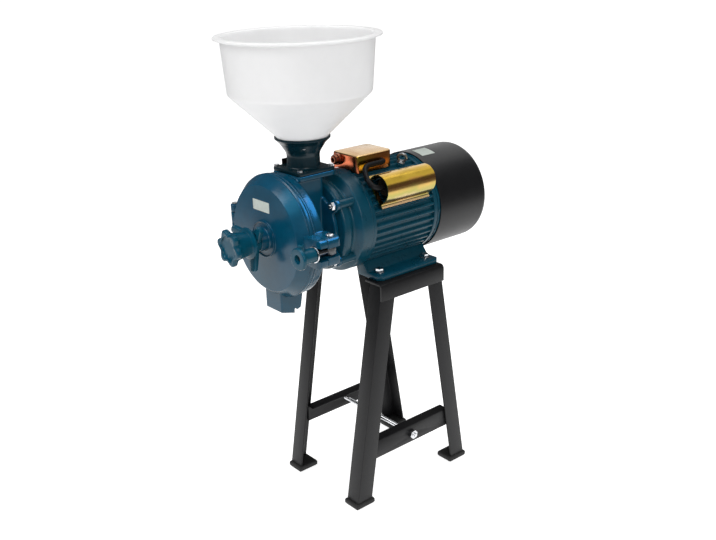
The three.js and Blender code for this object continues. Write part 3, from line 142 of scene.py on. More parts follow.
cap = sizes(lean=38.0, setback=18.0, length=107.0, radius=24.0, legs=13.0, flange=6.0, wall=1.5, base=86.0,
            bend=5.0, inner_bend=2.0, edge=0.5, strap=8.0, strap_gap=0.4, strap_sunk=0.2, boss_inset=14.0,
            boss_length=12.0, boss_half=3.0, boss_low=66.0, can_length=88.0, can_axis=104.3)
lead = sizes(radius=4.5, offset=14.0, drop=15.0, bow=11.0, stub=5.0, turn=4.0, forward=10.0, sway=0.7,
             fall=1.0, bend=8.0, entry=3.0)
eye = sizes(clearance=22.0, lean=20.0, turn=45.0, seat=8.0, seat_height=1.5, seat_round=0.8, stem=4.0,
            collar=6.5, collar_height=1.8, collar_round=0.5, shoulder_round=0.8, neck=3.4, neck_height=3.6,
            neck_round=2.0, rise=9.6, hole=4.6, ring=9.5)

# Sizes of the grinding head
head = sizes(depth=78.5, radius=100.0, lip=1.5, lip_width=4.0, lip_round=1.0, groove=1.0, groove_edge=0.6,
             band_start=2.4, band_round=0.8, band_end=3.0, wall=6.0, floor=7.0, floor_round=3.0, cone=89.0,
             cone_rise=0.5, cone_round=5.0, waist=36.0, waist_round=9.0, barrel=30.0, barrel_start=9.0,
             barrel_round=4.0, bore=22.5, flange_radius=62.0, flange=8.0, flange_round=2.0, seat_round=1.0,
             hole=14.0, rear_wall=7.0, block_half=29.0, block_round=9.0, block_drop=4.0)
stud = sizes(ring=76.0, angle=38.0, ear=10.0, ear_root=30.0, ear_round=0.5, boss=8.0, boss_over=7.0, nut=7.0,
             nut_height=6.5, turn=11.0, shank=3.0, pitch=1.0, stick_out=2.0, depth=10.0)
inlet = sizes(half=36.5, plate=8.0, corner=6.0, clear=0.5, relief=0.05, relief_half=40.0)
throat = sizes(half_x=19.0, half_y=14.0, corner=8.0)
chute = sizes(half=22.0, reach=15.0, box_depth=27.0, depth=48.0, top=84.0, bottom=125.5, drop=7.5, wall=4.0,
              notch=5.0, notch_top=119.0, heel_drop=3.0, heel_lean=8.0)
cover = sizes(depth=24.0, wall=5.0, face=87.0, face_round=1.8, shoulder=3.0, inner_round=2.0, band_end=2.2,
              boss=29.0, boss_flare=0.4, boss_round=2.0, boss_height=4.0, ring_inner=27.4,
              ring_inner_round=1.2, ring_top=28.2, ring_round=0.8, ring_outer=30.6, ring_outer_round=1.4,
              hub=17.0, hub_round=1.6, hub_flare=1.4, dish=2.0, dish_round=3.0, bore=8.3)
hinge = sizes(x=-113.0, z=8.0, pin=3.5, knuckle=7.5, edge=0.8, root=2.0, height=46.0, middle=18.0, arm=10.0,
              head=5.0, head_height=2.0, head_round=0.9, hole_low=-30.0, hole_high=40.0)
clamp = sizes(nose=30.0, side=13.0, half_height=23.0, side_round=9.0, edge=1.4, root=92.0, back=12.0,
              jaw=10.5, slot=9.0, slot_length=40.0, front_limit=-300.0, back_limit=-100.0)
swing = sizes(shank=5.0, shank_end=32.0, thread_start=31.0, shank_round=0.4, eye=9.0, eye_half=6.0,
              eye_round=1.2, eye_clear=2.0, hole_half=15.0, length=57.0, pin=4.0, pin_round=0.8, pin_low=1.5,
              pin_top=1.0, pin_hole_half=30.0, pin_head=6.5, pin_head_height=3.0, pin_head_side=1.7,
              pin_head_round=0.4, dome=4.5, dome_round=1.2)

# Sizes of the controls
lock = sizes(hub=17.0, edge=1.8, arm=46.5, arm_root=4.0, root_half=10.0, root_round=6.0, arm_half=5.5,
             tip_round=4.5, arm_edge=1.5, thickness=8.0, arms=3, phase=41.0, tip=3.0, dish=6.5, bend=24.0,
             channel_half=2.6, channel_depth=3.0, channel_start=20.0, channel_round=2.5, over=2.0)
knob = sizes(barrel_front=23.5, barrel_rear=19.0, skirt=25.5, skirt_width=4.0, skirt_edge=0.8, rim=9.0,
             mean=26.4, lobe=3.4, lobes=6, phase=49.0, recess=19.0, recess_depth=3.0, middle_share=0.55,
             middle=2.0, buried=8.0, over=5.0)
nut = sizes(soft=0.3, flange=17.5, flange_width=5.0, flange_round=1.5, flange_edge=1.4, flange_rise=1.7,
            rear_round=1.6, barrel=11.5, barrel_start=1.0, barrel_round=3.0, step=2.0, step_round=0.6,
            end_round=0.8, mouth=7.0, mouth_round=0.8, mouth_depth=6.0, mouth_flare=0.4, mouth_step=2.5,
            mouth_step_round=1.2, stub=4.8, stub_start=9.0, stub_reach=21.5, stub_round=1.2, stub_inset=8.0,
            stub_hole=2.4, stub_hole_depth=6.0)
washer = sizes(radius=13.0, edge=0.7)
pins = sizes(radius=3.0, pitch=42.0, short=2.3)

# Sizes of the feed
collar = sizes(base=6.0, foot=34.0, foot_drop=0.2, foot_round=0.4, neck=27.0, neck_rise=0.6, neck_round=5.0,
               waist=26.5, waist_level=126.0, waist_round=18.0, swell=37.5, swell_level=143.0,
               swell_round=10.0, bore=21.0, bore_top=120.0, throat_level=133.0, throat_round=4.0, flare=44.9,
               flare_wall=2.6, flare_round=1.2, lip=2.4, lip_under=0.8, lip_round=0.9, mouth_round=0.7,
               soft=0.2, plate_corner=7.0, plate_edge=1.3, screw_inset=5.5)
gate = sizes(thickness=2.2, half_width=22.0, nose=24.0, edge=0.8)
screw = sizes(radius=2.5, end_round=0.4, sunk=1.0, head=4.6, head_height=3.6, turn=20.0, reach=12.0)
hopper = sizes(spout=20.4, spout_low=11.5, neck=35.5, neck_round=10.0, neck_shift=1.2, cone_height=89.5,
               body=114.0, body_round=9.0, body_shift=1.1, body_height=88.0, top=120.0, lip=130.5,
               lip_height=4.0, lip_under=0.7, lip_rise=0.3, lip_round=1.4, under_round=3.0, mouth_round=2.2,
               wall=2.5, soft=0.5)
plate = sizes(x=-4.0, z=53.5, half_x=22.0, half_z=8.5, corner=1.5, thickness=0.5, border=2.0,
              border_corner=1.0, border_depth=0.2, field=3.0, field_corner=0.7, over=1.0, low_angle=71.0,
              high_angle=89.0, y=88.0, length=31.0)

# Sizes of the stand
steel = sizes(rail_edge=1.4, brace_edge=0.9, leg_edge=0.9, pad_edge=1.4, bevel_angle=25.0)
tie = sizes(radius=4.0, nut=8.5, nut_inset=4.0, nut_height=7.0, turn=10.0)

# Levels worked out from those sizes
HEAD_REAR = BELL_FRONT - GAP
FLANGE_FRONT = HEAD_REAR - head.flange
PARTING = HEAD_REAR - head.depth
COVER_BACK = PARTING - GAP
COVER_FACE = COVER_BACK - cover.depth
BAND_REAR = INLET_Y - inlet.half - inlet.clear
FLOOR_FACE = BAND_REAR - head.floor
CAVITY = head.radius - head.wall
RIM = head.radius + head.lip
LIP_STEP = head.lip_width + head.lip
CHUTE_FRONT = PARTING - chute.reach
CHUTE_REAR = CHUTE_FRONT + chute.box_depth
INLET_TOP = COLLAR_LOW - GAP
BOX_FRONT = FRAME_FRONT + box.setback
BOX_Y = BOX_FRONT + box.half_y
CAP_START = FRAME_FRONT + cap.setback
EYE_Y = BOX_Y + box.half_y + eye.clearance


# Shape helpers
def placed(name, data):
    piece = bpy.data.objects.new(name, data)
    bpy.context.scene.collection.objects.link(piece)
    return piece


def build(name, points, faces):
    mesh = bpy.data.meshes.new(name)
    mesh.from_pydata([tuple(p) for p in points], [], faces)
    shape = bmesh.new()
    shape.from_mesh(mesh)
    bmesh.ops.remove_doubles(shape, verts=shape.verts, dist=draft.weld)
    bmesh.ops.recalc_face_normals(shape, faces=shape.faces)
    shape.to_mesh(mesh)
    shape.free()
    return placed(name, mesh)


def along(axis, a, b, h):
    """A point from two outline values and a height along the axis."""
    return {"x": (h, a, b), "y": (a, h, b), "z": (a, b, h)}[axis]


def polar(radius, degrees, a=0.0, b=0.0):
    angle = math.radians(degrees)
    return (a + radius * math.cos(angle), b + radius * math.sin(angle))


def arc(radius, start, end, a=0.0, b=0.0, steps=12):
    return [polar(radius, start + (end - start) * k / steps, a, b) for k in range(steps + 1)]


def loft(name, rings):
    """A closed body through rings of the same number of points."""
    count = len(rings[0])
    points = [p for ring in rings for p in ring]
    faces = [tuple(range(count)), tuple(range(len(points) - count, len(points)))]
    for row in range(len(rings) - 1):
        for i in range(count):
            j = (i + 1) % count
            a, b = row * count, (row + 1) * count
            faces.append((a + i, a + j, b + j, b + i))
    return build(name, points, faces)


def lathe(name, profile, axis="y", at=(0, 0, 0), segments=96):
    """A body turned from (radius, height) points; a profile that leaves the axis out makes a ring."""
    points, rows, faces = [], [], []
    for radius, height in profile:
        count = 1 if radius < draft.axis_radius else segments
        rows.append([len(points) + i % count for i in range(segments)])
        for i in range(count):
            angle = 2 * math.pi * i / segments
            points.append(along(axis, radius * math.cos(angle), radius * math.sin(angle), height))
    if max(profile[0][0], profile[-1][0]) > draft.axis_radius:
        rows.append(rows[0])
    for low, high in zip(rows, rows[1:]):
        for i in range(segments):
            j = (i + 1) % segments
            corners = list(dict.fromkeys((low[i], low[j], high[j], high[i])))
            if len(corners) > 2:
                faces.append(corners)
    return build(name, [Vector(p) + Vector(at) for p in points], faces)


def rod(name, radius, low, high, axis="y", at=(0, 0, 0), edge=0.6, segments=48):
    profile = [(0, low), (radius, low, edge), (radius, high, edge), (0, high)]
    return lathe(name, rounded(profile, closed=False, steps=3), axis, at, segments)


def drill(radius, low, high, axis="y", at=(0, 0, 0), segments=32):
    """A tool that cuts a round hole."""
    return rod("hole", radius, low, high, axis, at, 0.0, segments)


def prism(name, outline, low, high, axis="y", at=(0, 0, 0)):
    rings = [[Vector(along(axis, a, b, h)) + Vector(at) for a, b in outline] for h in (low, high)]
    return loft(name, rings)


def block(name, x0, x1, y0, y1, z0, z1):
    return prism(name, [(x0, y0), (x1, y0), (x1, y1), (x0, y1)], z0, z1, "z")


def rounded(path, radius=0.0, steps=5, closed=True):
    """A polyline with rounded corners; a corner is (a, b) or (a, b, its own radius)."""
    corners = [(Vector(p[:2]), p[2] if len(p) > 2 else radius) for p in path]
    made = []
    for i, (here, own) in enumerate(corners):
        ends = not closed and i in (0, len(corners) - 1)
        back = corners[i - 1][0] - here
        ahead = corners[(i + 1) % len(corners)][0] - here
        bend = 0.0 if ends or own <= 0 else math.pi - back.angle(ahead, math.pi)
        if bend < draft.least_bend:
            made.append(tuple(here))
            continue
        room = min(back.length * draft.corner_share, ahead.length * draft.corner_share)
        run = min(own * math.tan(bend / 2), room)
        start, end = here + back.normalized() * run, here + ahead.normalized() * run
        for k in range(steps + 1):
            t = k / steps
            made.append(tuple(start * (1 - t) ** 2 + here * (2 * t * (1 - t)) + end * t ** 2))
    return made


def rectangle(half_a, half_b, corner, a=0.0, b=0.0, steps=6):
    path = [(a + half_a, b + half_b), (a - half_a, b + half_b), (a - half_a, b - half_b),
            (a + half_a, b - half_b)]
    return rounded(path, corner, steps)


def wheel(radius, count, phase=0.0):
    return [polar(radius, phase + 360 * i / count) for i in range(count)]


def bake(piece):
    """Applies a piece's modifiers."""
    graph = bpy.context.evaluated_depsgraph_get()
    piece.data = bpy.data.meshes.new_from_object(piece.evaluated_get(graph))
    piece.modifiers.clear()
    return piece


def combine(piece, kind, *tools):
    for tool in tools:
        step = piece.modifiers.new(kind, "BOOLEAN")
        step.operation = kind
        step.solver = "MANIFOLD"
        step.object = tool
    bake(piece)
    for tool in tools:
        bpy.data.objects.remove(tool)
    return piece


def join(piece, *tools):
    return combine(piece, "UNION", *tools)


def cut(piece, *tools):
    return combine(piece, "DIFFERENCE", *tools)


def soften(piece, width, segments=3, angle=30.0):
    """Rounds a piece's sharp edges."""
    step = piece.modifiers.new("edges", "BEVEL")
    step.width = width
    step.segments = segments
    step.limit_method = "ANGLE"
    step.angle_limit = math.radians(angle)
    return bake(piece)


def cast(piece, voxel=1.3, rounds=5, factor=0.5, keep=0.4):
    """Melts a joined body into one casting with small fillets."""
    melt = piece.modifiers.new("melt", "REMESH")
    melt.mode = "VOXEL"
    melt.voxel_size = voxel
    even = piece.modifiers.new("even", "SMOOTH")
    even.factor = factor
    even.iterations = rounds
    fewer = piece.modifiers.new("fewer", "DECIMATE")
    fewer.ratio = keep
    return bake(piece)


def turned(piece, axis, degrees):
    piece.data.transform(Matrix.Rotation(math.radians(degrees), 4, axis))
    return piece


def moved(piece, x=0.0, y=0.0, z=0.0):
    piece.data.transform(Matrix.Translation((x, y, z)))
    return piece


def copy_of(solid, name):
    """A free copy of a solid's mesh, with its flat faces whole again."""
    mesh = frame["nodes"][solid].data.copy()
    mesh.name = name
    mesh.transform(Matrix.Scale(1 / MM, 4) @ Matrix.Translation(-ORIGIN))
    shape = bmesh.new()
    shape.from_mesh(mesh)
    bmesh.ops.remove_doubles(shape, verts=shape.verts, dist=draft.copy_weld)
    flat = math.radians(draft.flat_angle)
    bmesh.ops.dissolve_limit(shape, angle_limit=flat, verts=shape.verts, edges=shape.edges)
    shape.to_mesh(mesh)
    shape.free()
    return placed(name, mesh)


def show(piece, finish, *solids, body="mill", crease=35.0, slot=None):
    """Places a finished piece in the frame of the solids, on its body, and hides the solids that it stands
    for.
    """
    mesh = piece.data
    mesh.transform(Matrix.Translation(ORIGIN) @ Matrix.Scale(MM, 4))
    mesh.shade_smooth()
    mesh.set_sharp_from_angle(angle=math.radians(crease))
    mesh.materials.clear()
    mesh.materials.append(FINISHES[finish])
    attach(piece, body)
    if solids:
        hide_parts(*solids)


def hexagon(name, radius, low, high, at=(0, 0, 0), axis="z", phase=0.0):
    """A hexagonal nut or bolt head with its corners turned off."""
    body = prism(name, wheel(radius, 6, phase), low, high, axis, at)
    flat, wide = radius * draft.flat_share, radius + draft.dome_clear
    edge = (radius - flat) * draft.dome_share
    dome = [(0, low - draft.dome_low), (flat, low - draft.dome_low), (wide, low + edge), (wide, high - edge),
            (flat, high + draft.dome_high), (0, high + draft.dome_high)]
    return combine(body, "INTERSECT", lathe(name + "_turn", dome, axis, at, 48))


def thread(radius, low, high, axis="y", at=(0, 0, 0), pitch=1.25, name="thread"):
    """A threaded end as fine ridges."""
    profile = [(0, low), (radius - pitch / 2, low)]
    level = low + pitch / 2
    while level < high - pitch:
        profile += [(radius, level), (radius - pitch * draft.valley_share, level + pitch / 2)]
        level += pitch
    profile += [(radius - pitch / 2, high), (0, high)]
    return lathe(name, profile, axis, at, 32)


def tube(name, path, radius, steps=8, sides=20):
    """A round lead through points, smoothly."""
    line = bpy.data.curves.new(name, "CURVE")
    line.dimensions = "3D"
    line.bevel_depth = radius
    line.bevel_resolution = sides // 4
    line.use_fill_caps = True
    run = line.splines.new("NURBS")
    run.points.add(len(path) - 1)
    for point, place in zip(run.points, path):
        point.co = (*place, 1)
    run.use_endpoint_u = True
    run.order_u = 4
    run.resolution_u = steps
    holder = placed(name + "_line", line)
    graph = bpy.context.evaluated_depsgraph_get()
    mesh = bpy.data.meshes.new_from_object(holder.evaluated_get(graph))
    bpy.data.objects.remove(holder)
    return placed(name, mesh)


# Materials
def node(tree, kind, **values):
    """A shader node; each value is a setting, a constant for an input or the socket that feeds it."""
    made = tree.nodes.new("ShaderNode" + kind)
    for key, value in values.items():
        socket = key.replace("_", " ")
        if socket not in made.inputs:
            setattr(made, key, value)
        elif isinstance(value, bpy.types.NodeSocket):
            tree.links.new(value, made.inputs[socket])
        else:
            made.inputs[socket].default_value = value
    return made


def calculate(tree, operation, a, b):
    """A math node whose inputs are sockets or numbers."""
    made = node(tree, "Math", operation=operation)
    for value, socket in zip((a, b), made.inputs):
        if isinstance(value, (int, float)):
            socket.default_value = value
        else:
            tree.links.new(value, socket)
    return made.outputs[0]


def blank(name, metal, **sockets):
    """A material with its constant sockets set, and the place that its patterns follow."""
    made = bpy.data.materials.new(name)
    made.use_nodes = True
    tree = made.node_tree
    shader = tree.nodes["Principled BSDF"]
    for socket, value in {"Metallic": metal, **sockets}.items():
        shader.inputs[socket.replace("_", " ")].default_value = value
    return made, tree, shader, node(tree, "TexCoord").outputs["Object"]


def add_gloss(tree, shader, factor, rough, drift):
    gloss = node(tree, "MapRange", Value=factor, To_Min=rough * (1 - drift), To_Max=rough * (1 + drift))
    tree.links.new(gloss.outputs["Result"], shader.inputs["Roughness"])


def add_relief(tree, shader, place, strength, scale, depth=0.0004):
    grain = node(tree, "TexNoise", Scale=scale, Detail=2.0, Vector=place)
    relief = node(tree, "Bump", Strength=strength, Distance=depth, Height=grain.outputs["Fac"])
    tree.links.new(relief.outputs["Normal"], shader.inputs["Normal"])


# Nearly all values of a noise lie between these two
noise_span = (0.3, 0.7)


def shade(name, colour, rough, metal=0.0, mottle=0.1, scale=60.0, bump=0.0, bump_scale=900.0, shine=0.5,
          **sockets):
    """A surface whose colour and roughness drift a little, with fine relief."""
    made, tree, shader, place = blank(name, metal, Specular_IOR_Level=shine, **sockets)
    drift = node(tree, "TexNoise", Scale=scale, Detail=4.0, Vector=place).outputs["Fac"]
    tint = node(tree, "ValToRGB", Fac=drift)
    for element, position, share in zip(tint.color_ramp.elements, noise_span, (1 - mottle, 1 + mottle)):
        element.position = position
        element.color = (*[min(1, c * share) for c in colour], 1)
    tree.links.new(tint.outputs["Color"], shader.inputs["Base Color"])
    add_gloss(tree, shader, drift, rough, mottle)
    if bump:
        add_relief(tree, shader, place, bump, bump_scale)
    return made


def passivated(name, tints_and_painted_light, low, high, rough=0.22, drift=0.3, patch=0.3, patch_scale=28.0):
    """Yellow passivated sheet: the tint runs in bands from low to high and drifts in patches; the bands hold
    the film's own tint together with painted highlights, painted sheen and painted shadow.
    """
    made, tree, shader, place = blank(name, 1.0)
    low, high = ORIGIN + Vector(low) * MM, ORIGIN + Vector(high) * MM
    run = high - low
    away = node(tree, "VectorMath", operation="SUBTRACT", Vector=place)
    away.inputs[1].default_value = low
    share = node(tree, "VectorMath", operation="DOT_PRODUCT", Vector=away.outputs["Vector"])
    share.inputs[1].default_value = run / run.length_squared
    blotch = node(tree, "TexNoise", Scale=patch_scale, Detail=3.0, Vector=place).outputs["Fac"]
    low_noise, high_noise = noise_span
    sway = node(tree, "MapRange", Value=blotch, From_Min=low_noise, From_Max=high_noise, To_Min=-patch,
                To_Max=patch)
    total = calculate(tree, "ADD", share.outputs["Value"], sway.outputs["Result"])
    film = node(tree, "ValToRGB", Fac=total)
    ramp = film.color_ramp
    for position, colour in tints_and_painted_light[2:]:
        ramp.elements.new(position)
    for element, (position, colour) in zip(ramp.elements, sorted(tints_and_painted_light)):
        element.position = position
        element.color = (*colour, 1)
    tree.links.new(film.outputs["Color"], shader.inputs["Base Color"])
    add_gloss(tree, shader, blotch, rough, drift)
    return made


def cap_side(across, high):
    """A point over the capacitor, across its cover and above the motor axis."""
    lean = math.radians(cap.lean)
    return (high * math.cos(lean) + across * math.sin(lean), 0.0,
            high * math.sin(lean) - across * math.cos(lean))


# Tints across the terminal box: the film's own tint; its darker stops along the side facing +X, where the
# lead runs, are painted shadow of the lead
box_tints_and_lead_shadow = [
    (0.0, (0.62, 0.16, 0.08)), (0.30, (0.75, 0.2, 0.09)), (0.42, (0.35, 0.1, 0.05)),
    (0.46, (0.42, 0.30, 0.035)), (0.60, (0.50, 0.24, 0.04)), (0.80, (0.40, 0.13, 0.035)),
    (1.0, (0.45, 0.2, 0.06)),
]
# Tints across the capacitor's cover: the film's own tint, with its pale stops at both edges and its
# lengthwise bands also painted highlights
cap_tints_and_highlights = [
    (0.0, (0.62, 0.42, 0.14)), (0.16, (0.66, 0.42, 0.08)), (0.3, (0.42, 0.27, 0.03)),
    (0.46, (0.6, 0.4, 0.05)), (0.62, (0.64, 0.3, 0.1)), (0.74, (0.6, 0.4, 0.12)),
    (0.86, (0.4, 0.36, 0.1)), (1.0, (0.75, 0.5, 0.28)),
]
# Tints of the box's top face: the film's tint made paler, a painted sheen where the top faces the light
top_sheen_tints = [
    (0.0, (0.60, 0.38, 0.16)), (0.35, (0.52, 0.30, 0.11)), (0.7, (0.64, 0.44, 0.22)),
    (1.0, (0.55, 0.32, 0.12)),
]
# Where the bands of tint, painted highlight and painted shadow start and end, across the terminal box and
# across the capacitor's cover
box_run = (-32, -66, 0), (32, 14, 0)
cap_run = cap_side(-24, cap.base), cap_side(30, cap.base)

# Colour and roughness of each even finish, and what sets it apart
LOOKS = {
    "stand_steel": ((0.008, 0.008, 0.009), 0.42, dict(bump=0.25, bump_scale=1500.0, shine=0.26)),
    "pad_rubber": ((0.014, 0.014, 0.014), 0.7, dict(bump=0.3)),
    "mill_paint": ((0.002, 0.048, 0.076), 0.28, dict(bump=0.25, bump_scale=500.0, shine=0.29)),
    "cover_paint": ((0.001, 0.052, 0.092), 0.22, dict(bump=0.15, bump_scale=400.0, shine=0.38)),
    "knob_paint": ((0.001, 0.058, 0.092), 0.24, dict(bump=0.15, bump_scale=400.0, shine=0.28)),
    # A darker copy of the mill paint for the collar: painted shade under the hopper
    "collar_paint": ((0.001, 0.016, 0.024), 0.26, dict(bump=0.25, bump_scale=500.0, shine=0.3)),
    "cowl_paint": ((0.007, 0.007, 0.008), 0.4, dict(bump=0.2, bump_scale=1200.0, shine=0.35)),
    "yellow_zinc": ((0.26, 0.09, 0.05), 0.3, dict(metal=1.0, mottle=0.35, scale=30.0)),
    "bright_plate": ((0.66, 0.67, 0.69), 0.16, dict(metal=1.0)),
    "bare_steel": ((0.3, 0.31, 0.32), 0.36, dict(metal=1.0)),
    # A dark copy of plated steel for the swing bolt: painted shade between the clamp's jaws
    "dull_steel": ((0.14, 0.145, 0.15), 0.34, dict(metal=1.0, mottle=0.2)),
    "bare_iron": ((0.2, 0.2, 0.21), 0.55, dict(metal=0.9, mottle=0.2)),
    "copper_winding": ((0.4, 0.17, 0.06), 0.4, dict(metal=0.8, mottle=0.2)),
    "white_plastic": ((0.8, 0.8, 0.805), 0.4, dict(
        mottle=0.01, Subsurface_Weight=0.7, Subsurface_Radius=(1, 1, 1), Subsurface_Scale=0.02)),
    "black_plastic": ((0.005, 0.005, 0.006), 0.5, dict(shine=0.25)),
    "name_plate": ((0.62, 0.68, 0.63), 0.35, dict(metal=0.2, mottle=0.06, scale=200.0)),
}
FINISHES = {name: shade(name, colour, rough, **more) for name, (colour, rough, more) in LOOKS.items()}
FINISHES["zinc_top"] = passivated("zinc_top", top_sheen_tints, *box_run)
FINISHES["zinc_sides"] = passivated("zinc_sides", box_tints_and_lead_shadow, *box_run, patch=0.06)
FINISHES["zinc_cap"] = passivated("zinc_cap", cap_tints_and_highlights, *cap_run, patch=0.07)


def carry_finishes():
    """Every solid that stays in view takes its finish from its slot in the record."""
    slot_of = {row["node"]: row["material_slot"] for row in frame["record"]["subparts"]}
    for name, piece in frame["nodes"].items():
        piece.data.materials.clear()
        piece.data.materials.append(FINISHES[slot_of[name]])


# Hopper, collar and gate
def make_hopper():
    low, neck = COLLAR_LOW + hopper.spout_low, COLLAR_LOW + hopper.neck
    cone_top = neck + hopper.cone_height
    rim = cone_top + hopper.body_height
    lip_low, bore = rim - hopper.lip_height, hopper.spout - hopper.wall
    profile = [
        (bore, low), (hopper.spout, low), (hopper.spout, neck, hopper.neck_round),
        (hopper.body, cone_top, hopper.body_round),
        (hopper.top, lip_low - hopper.lip_under, hopper.under_round),
        (hopper.lip, lip_low + hopper.lip_rise, hopper.lip_round), (hopper.lip, rim, hopper.lip_round),
        (hopper.top - hopper.wall, rim, hopper.mouth_round),
        (hopper.body - hopper.wall, cone_top + hopper.body_shift, hopper.body_round),
        (bore, neck + hopper.neck_shift, hopper.neck_round),
    ]
    piece = lathe("hopper_shell", rounded(profile, hopper.soft, 8), "z", (0, INLET_Y, 0), 160)
    show(piece, "white_plastic", "hopper")


def make_collar():
    at, top = (0, INLET_Y, 0), COLLAR_LOW + collar.base
    profile = [
        (collar.bore, COLLAR_LOW), (collar.foot, COLLAR_LOW),
        (collar.foot, top - collar.foot_drop, collar.foot_round),
        (collar.neck, top + collar.neck_rise, collar.neck_round),
        (collar.waist, collar.waist_level, collar.waist_round),
        (collar.swell, collar.swell_level, collar.swell_round),
        (collar.flare, COLLAR_TOP - collar.lip - collar.lip_under, collar.flare_round),
        (collar.flare, COLLAR_TOP, collar.lip_round),
        (collar.flare - collar.flare_wall, COLLAR_TOP, collar.mouth_round),
        (collar.bore, collar.throat_level, collar.throat_round),
    ]
    flare = lathe("feed_collar_cast", rounded(profile, collar.soft, 7), "z", at, 128)
    outline = rectangle(inlet.half, inlet.half, collar.plate_corner, 0, INLET_Y)
    join(flare, soften(prism("collar_plate", outline, COLLAR_LOW, top, "z"), collar.plate_edge))
    side, low = gate.half_width + GAP, COLLAR_LOW - OVER
    cut(flare, drill(collar.bore, low, collar.bore_top, "z", at, 128),
        block("slot", -inlet.half - OVER, gate.nose + GAP, INLET_Y - side, INLET_Y + side, low,
              COLLAR_LOW + gate.thickness + GAP))
    # The collar shows in the darker copy of its mill paint: painted shade
    show(flare, "collar_paint", "feed_collar", slot="mill_paint")
    show(soften(copy_of("feed_gate", "gate_plate"), gate.edge), "stand_steel", "feed_gate", body="gate")


def make_screws():
    out, low = inlet.half - collar.screw_inset, COLLAR_LOW + collar.base + GAP
    for name, side, end in (("far_front", -1, -1), ("near_front", 1, -1), ("near_rear", 1, 1),
                            ("far_rear", -1, 1)):
        at = (side * out, INLET_Y + end * out, 0)
        piece = hexagon(f"flange_screw_{name}", screw.head, low, low + screw.head_height, at, "z", screw.turn)
        join(piece,
             rod("shank", screw.radius, low - screw.reach, low + screw.sunk, "z", at, screw.end_round, 24))
        show(piece, "bright_plate", f"collar_screw_{name}")


# Grinding head
def stud_places():
    turns = (stud.angle, 180 - stud.angle, 180 + stud.angle, 360 - stud.angle)
    return [polar(stud.ring, turn) for turn in turns]


def knuckle(low, high, y0, y1):
    arm = block("arm", hinge.x, hinge.root - CAVITY, y0, y1, low, high)
    return join(arm, rod("barrel", hinge.knuckle, low, high, "z", (hinge.x, HINGE_Y, 0), hinge.edge, 40))


def chute_body():
    outline = [
        (CHUTE_FRONT, -chute.top), (CHUTE_FRONT, -chute.bottom), (CHUTE_REAR, -chute.bottom - chute.drop),
        (CHUTE_REAR, -chute.notch_top), (CHUTE_REAR + chute.notch, -chute.bottom - chute.heel_drop),
        (CHUTE_FRONT + chute.depth - chute.heel_lean, -chute.bottom), (CHUTE_FRONT + chute.depth, -chute.top),
    ]
    return prism("chute", outline, -chute.half, chute.half, "x")


def chute_channel(y0, y1, low):
    side = chute.half - chute.wall
    return block("channel", -side, side, y0, y1, low, -CAVITY + head.wall)


def clamp_lug(name, back, front):
    """A lug of the clamp, drawn from above, with its corners rounded seen from the front too."""
    low, high = PIVOT.z - clamp.half_height, PIVOT.z + clamp.half_height
    piece = prism(name, [(clamp.root, back)] + front, low, high, "z")
    root, side = clamp.root - OVER, PIVOT.x + clamp.side
    outline = [(root, low), (side, low, clamp.side_round), (side, high, clamp.side_round), (root, high)]
    limit = prism(name + "_round", rounded(outline, steps=8), clamp.front_limit, clamp.back_limit)
    return soften(combine(piece, "INTERSECT", limit), clamp.edge)


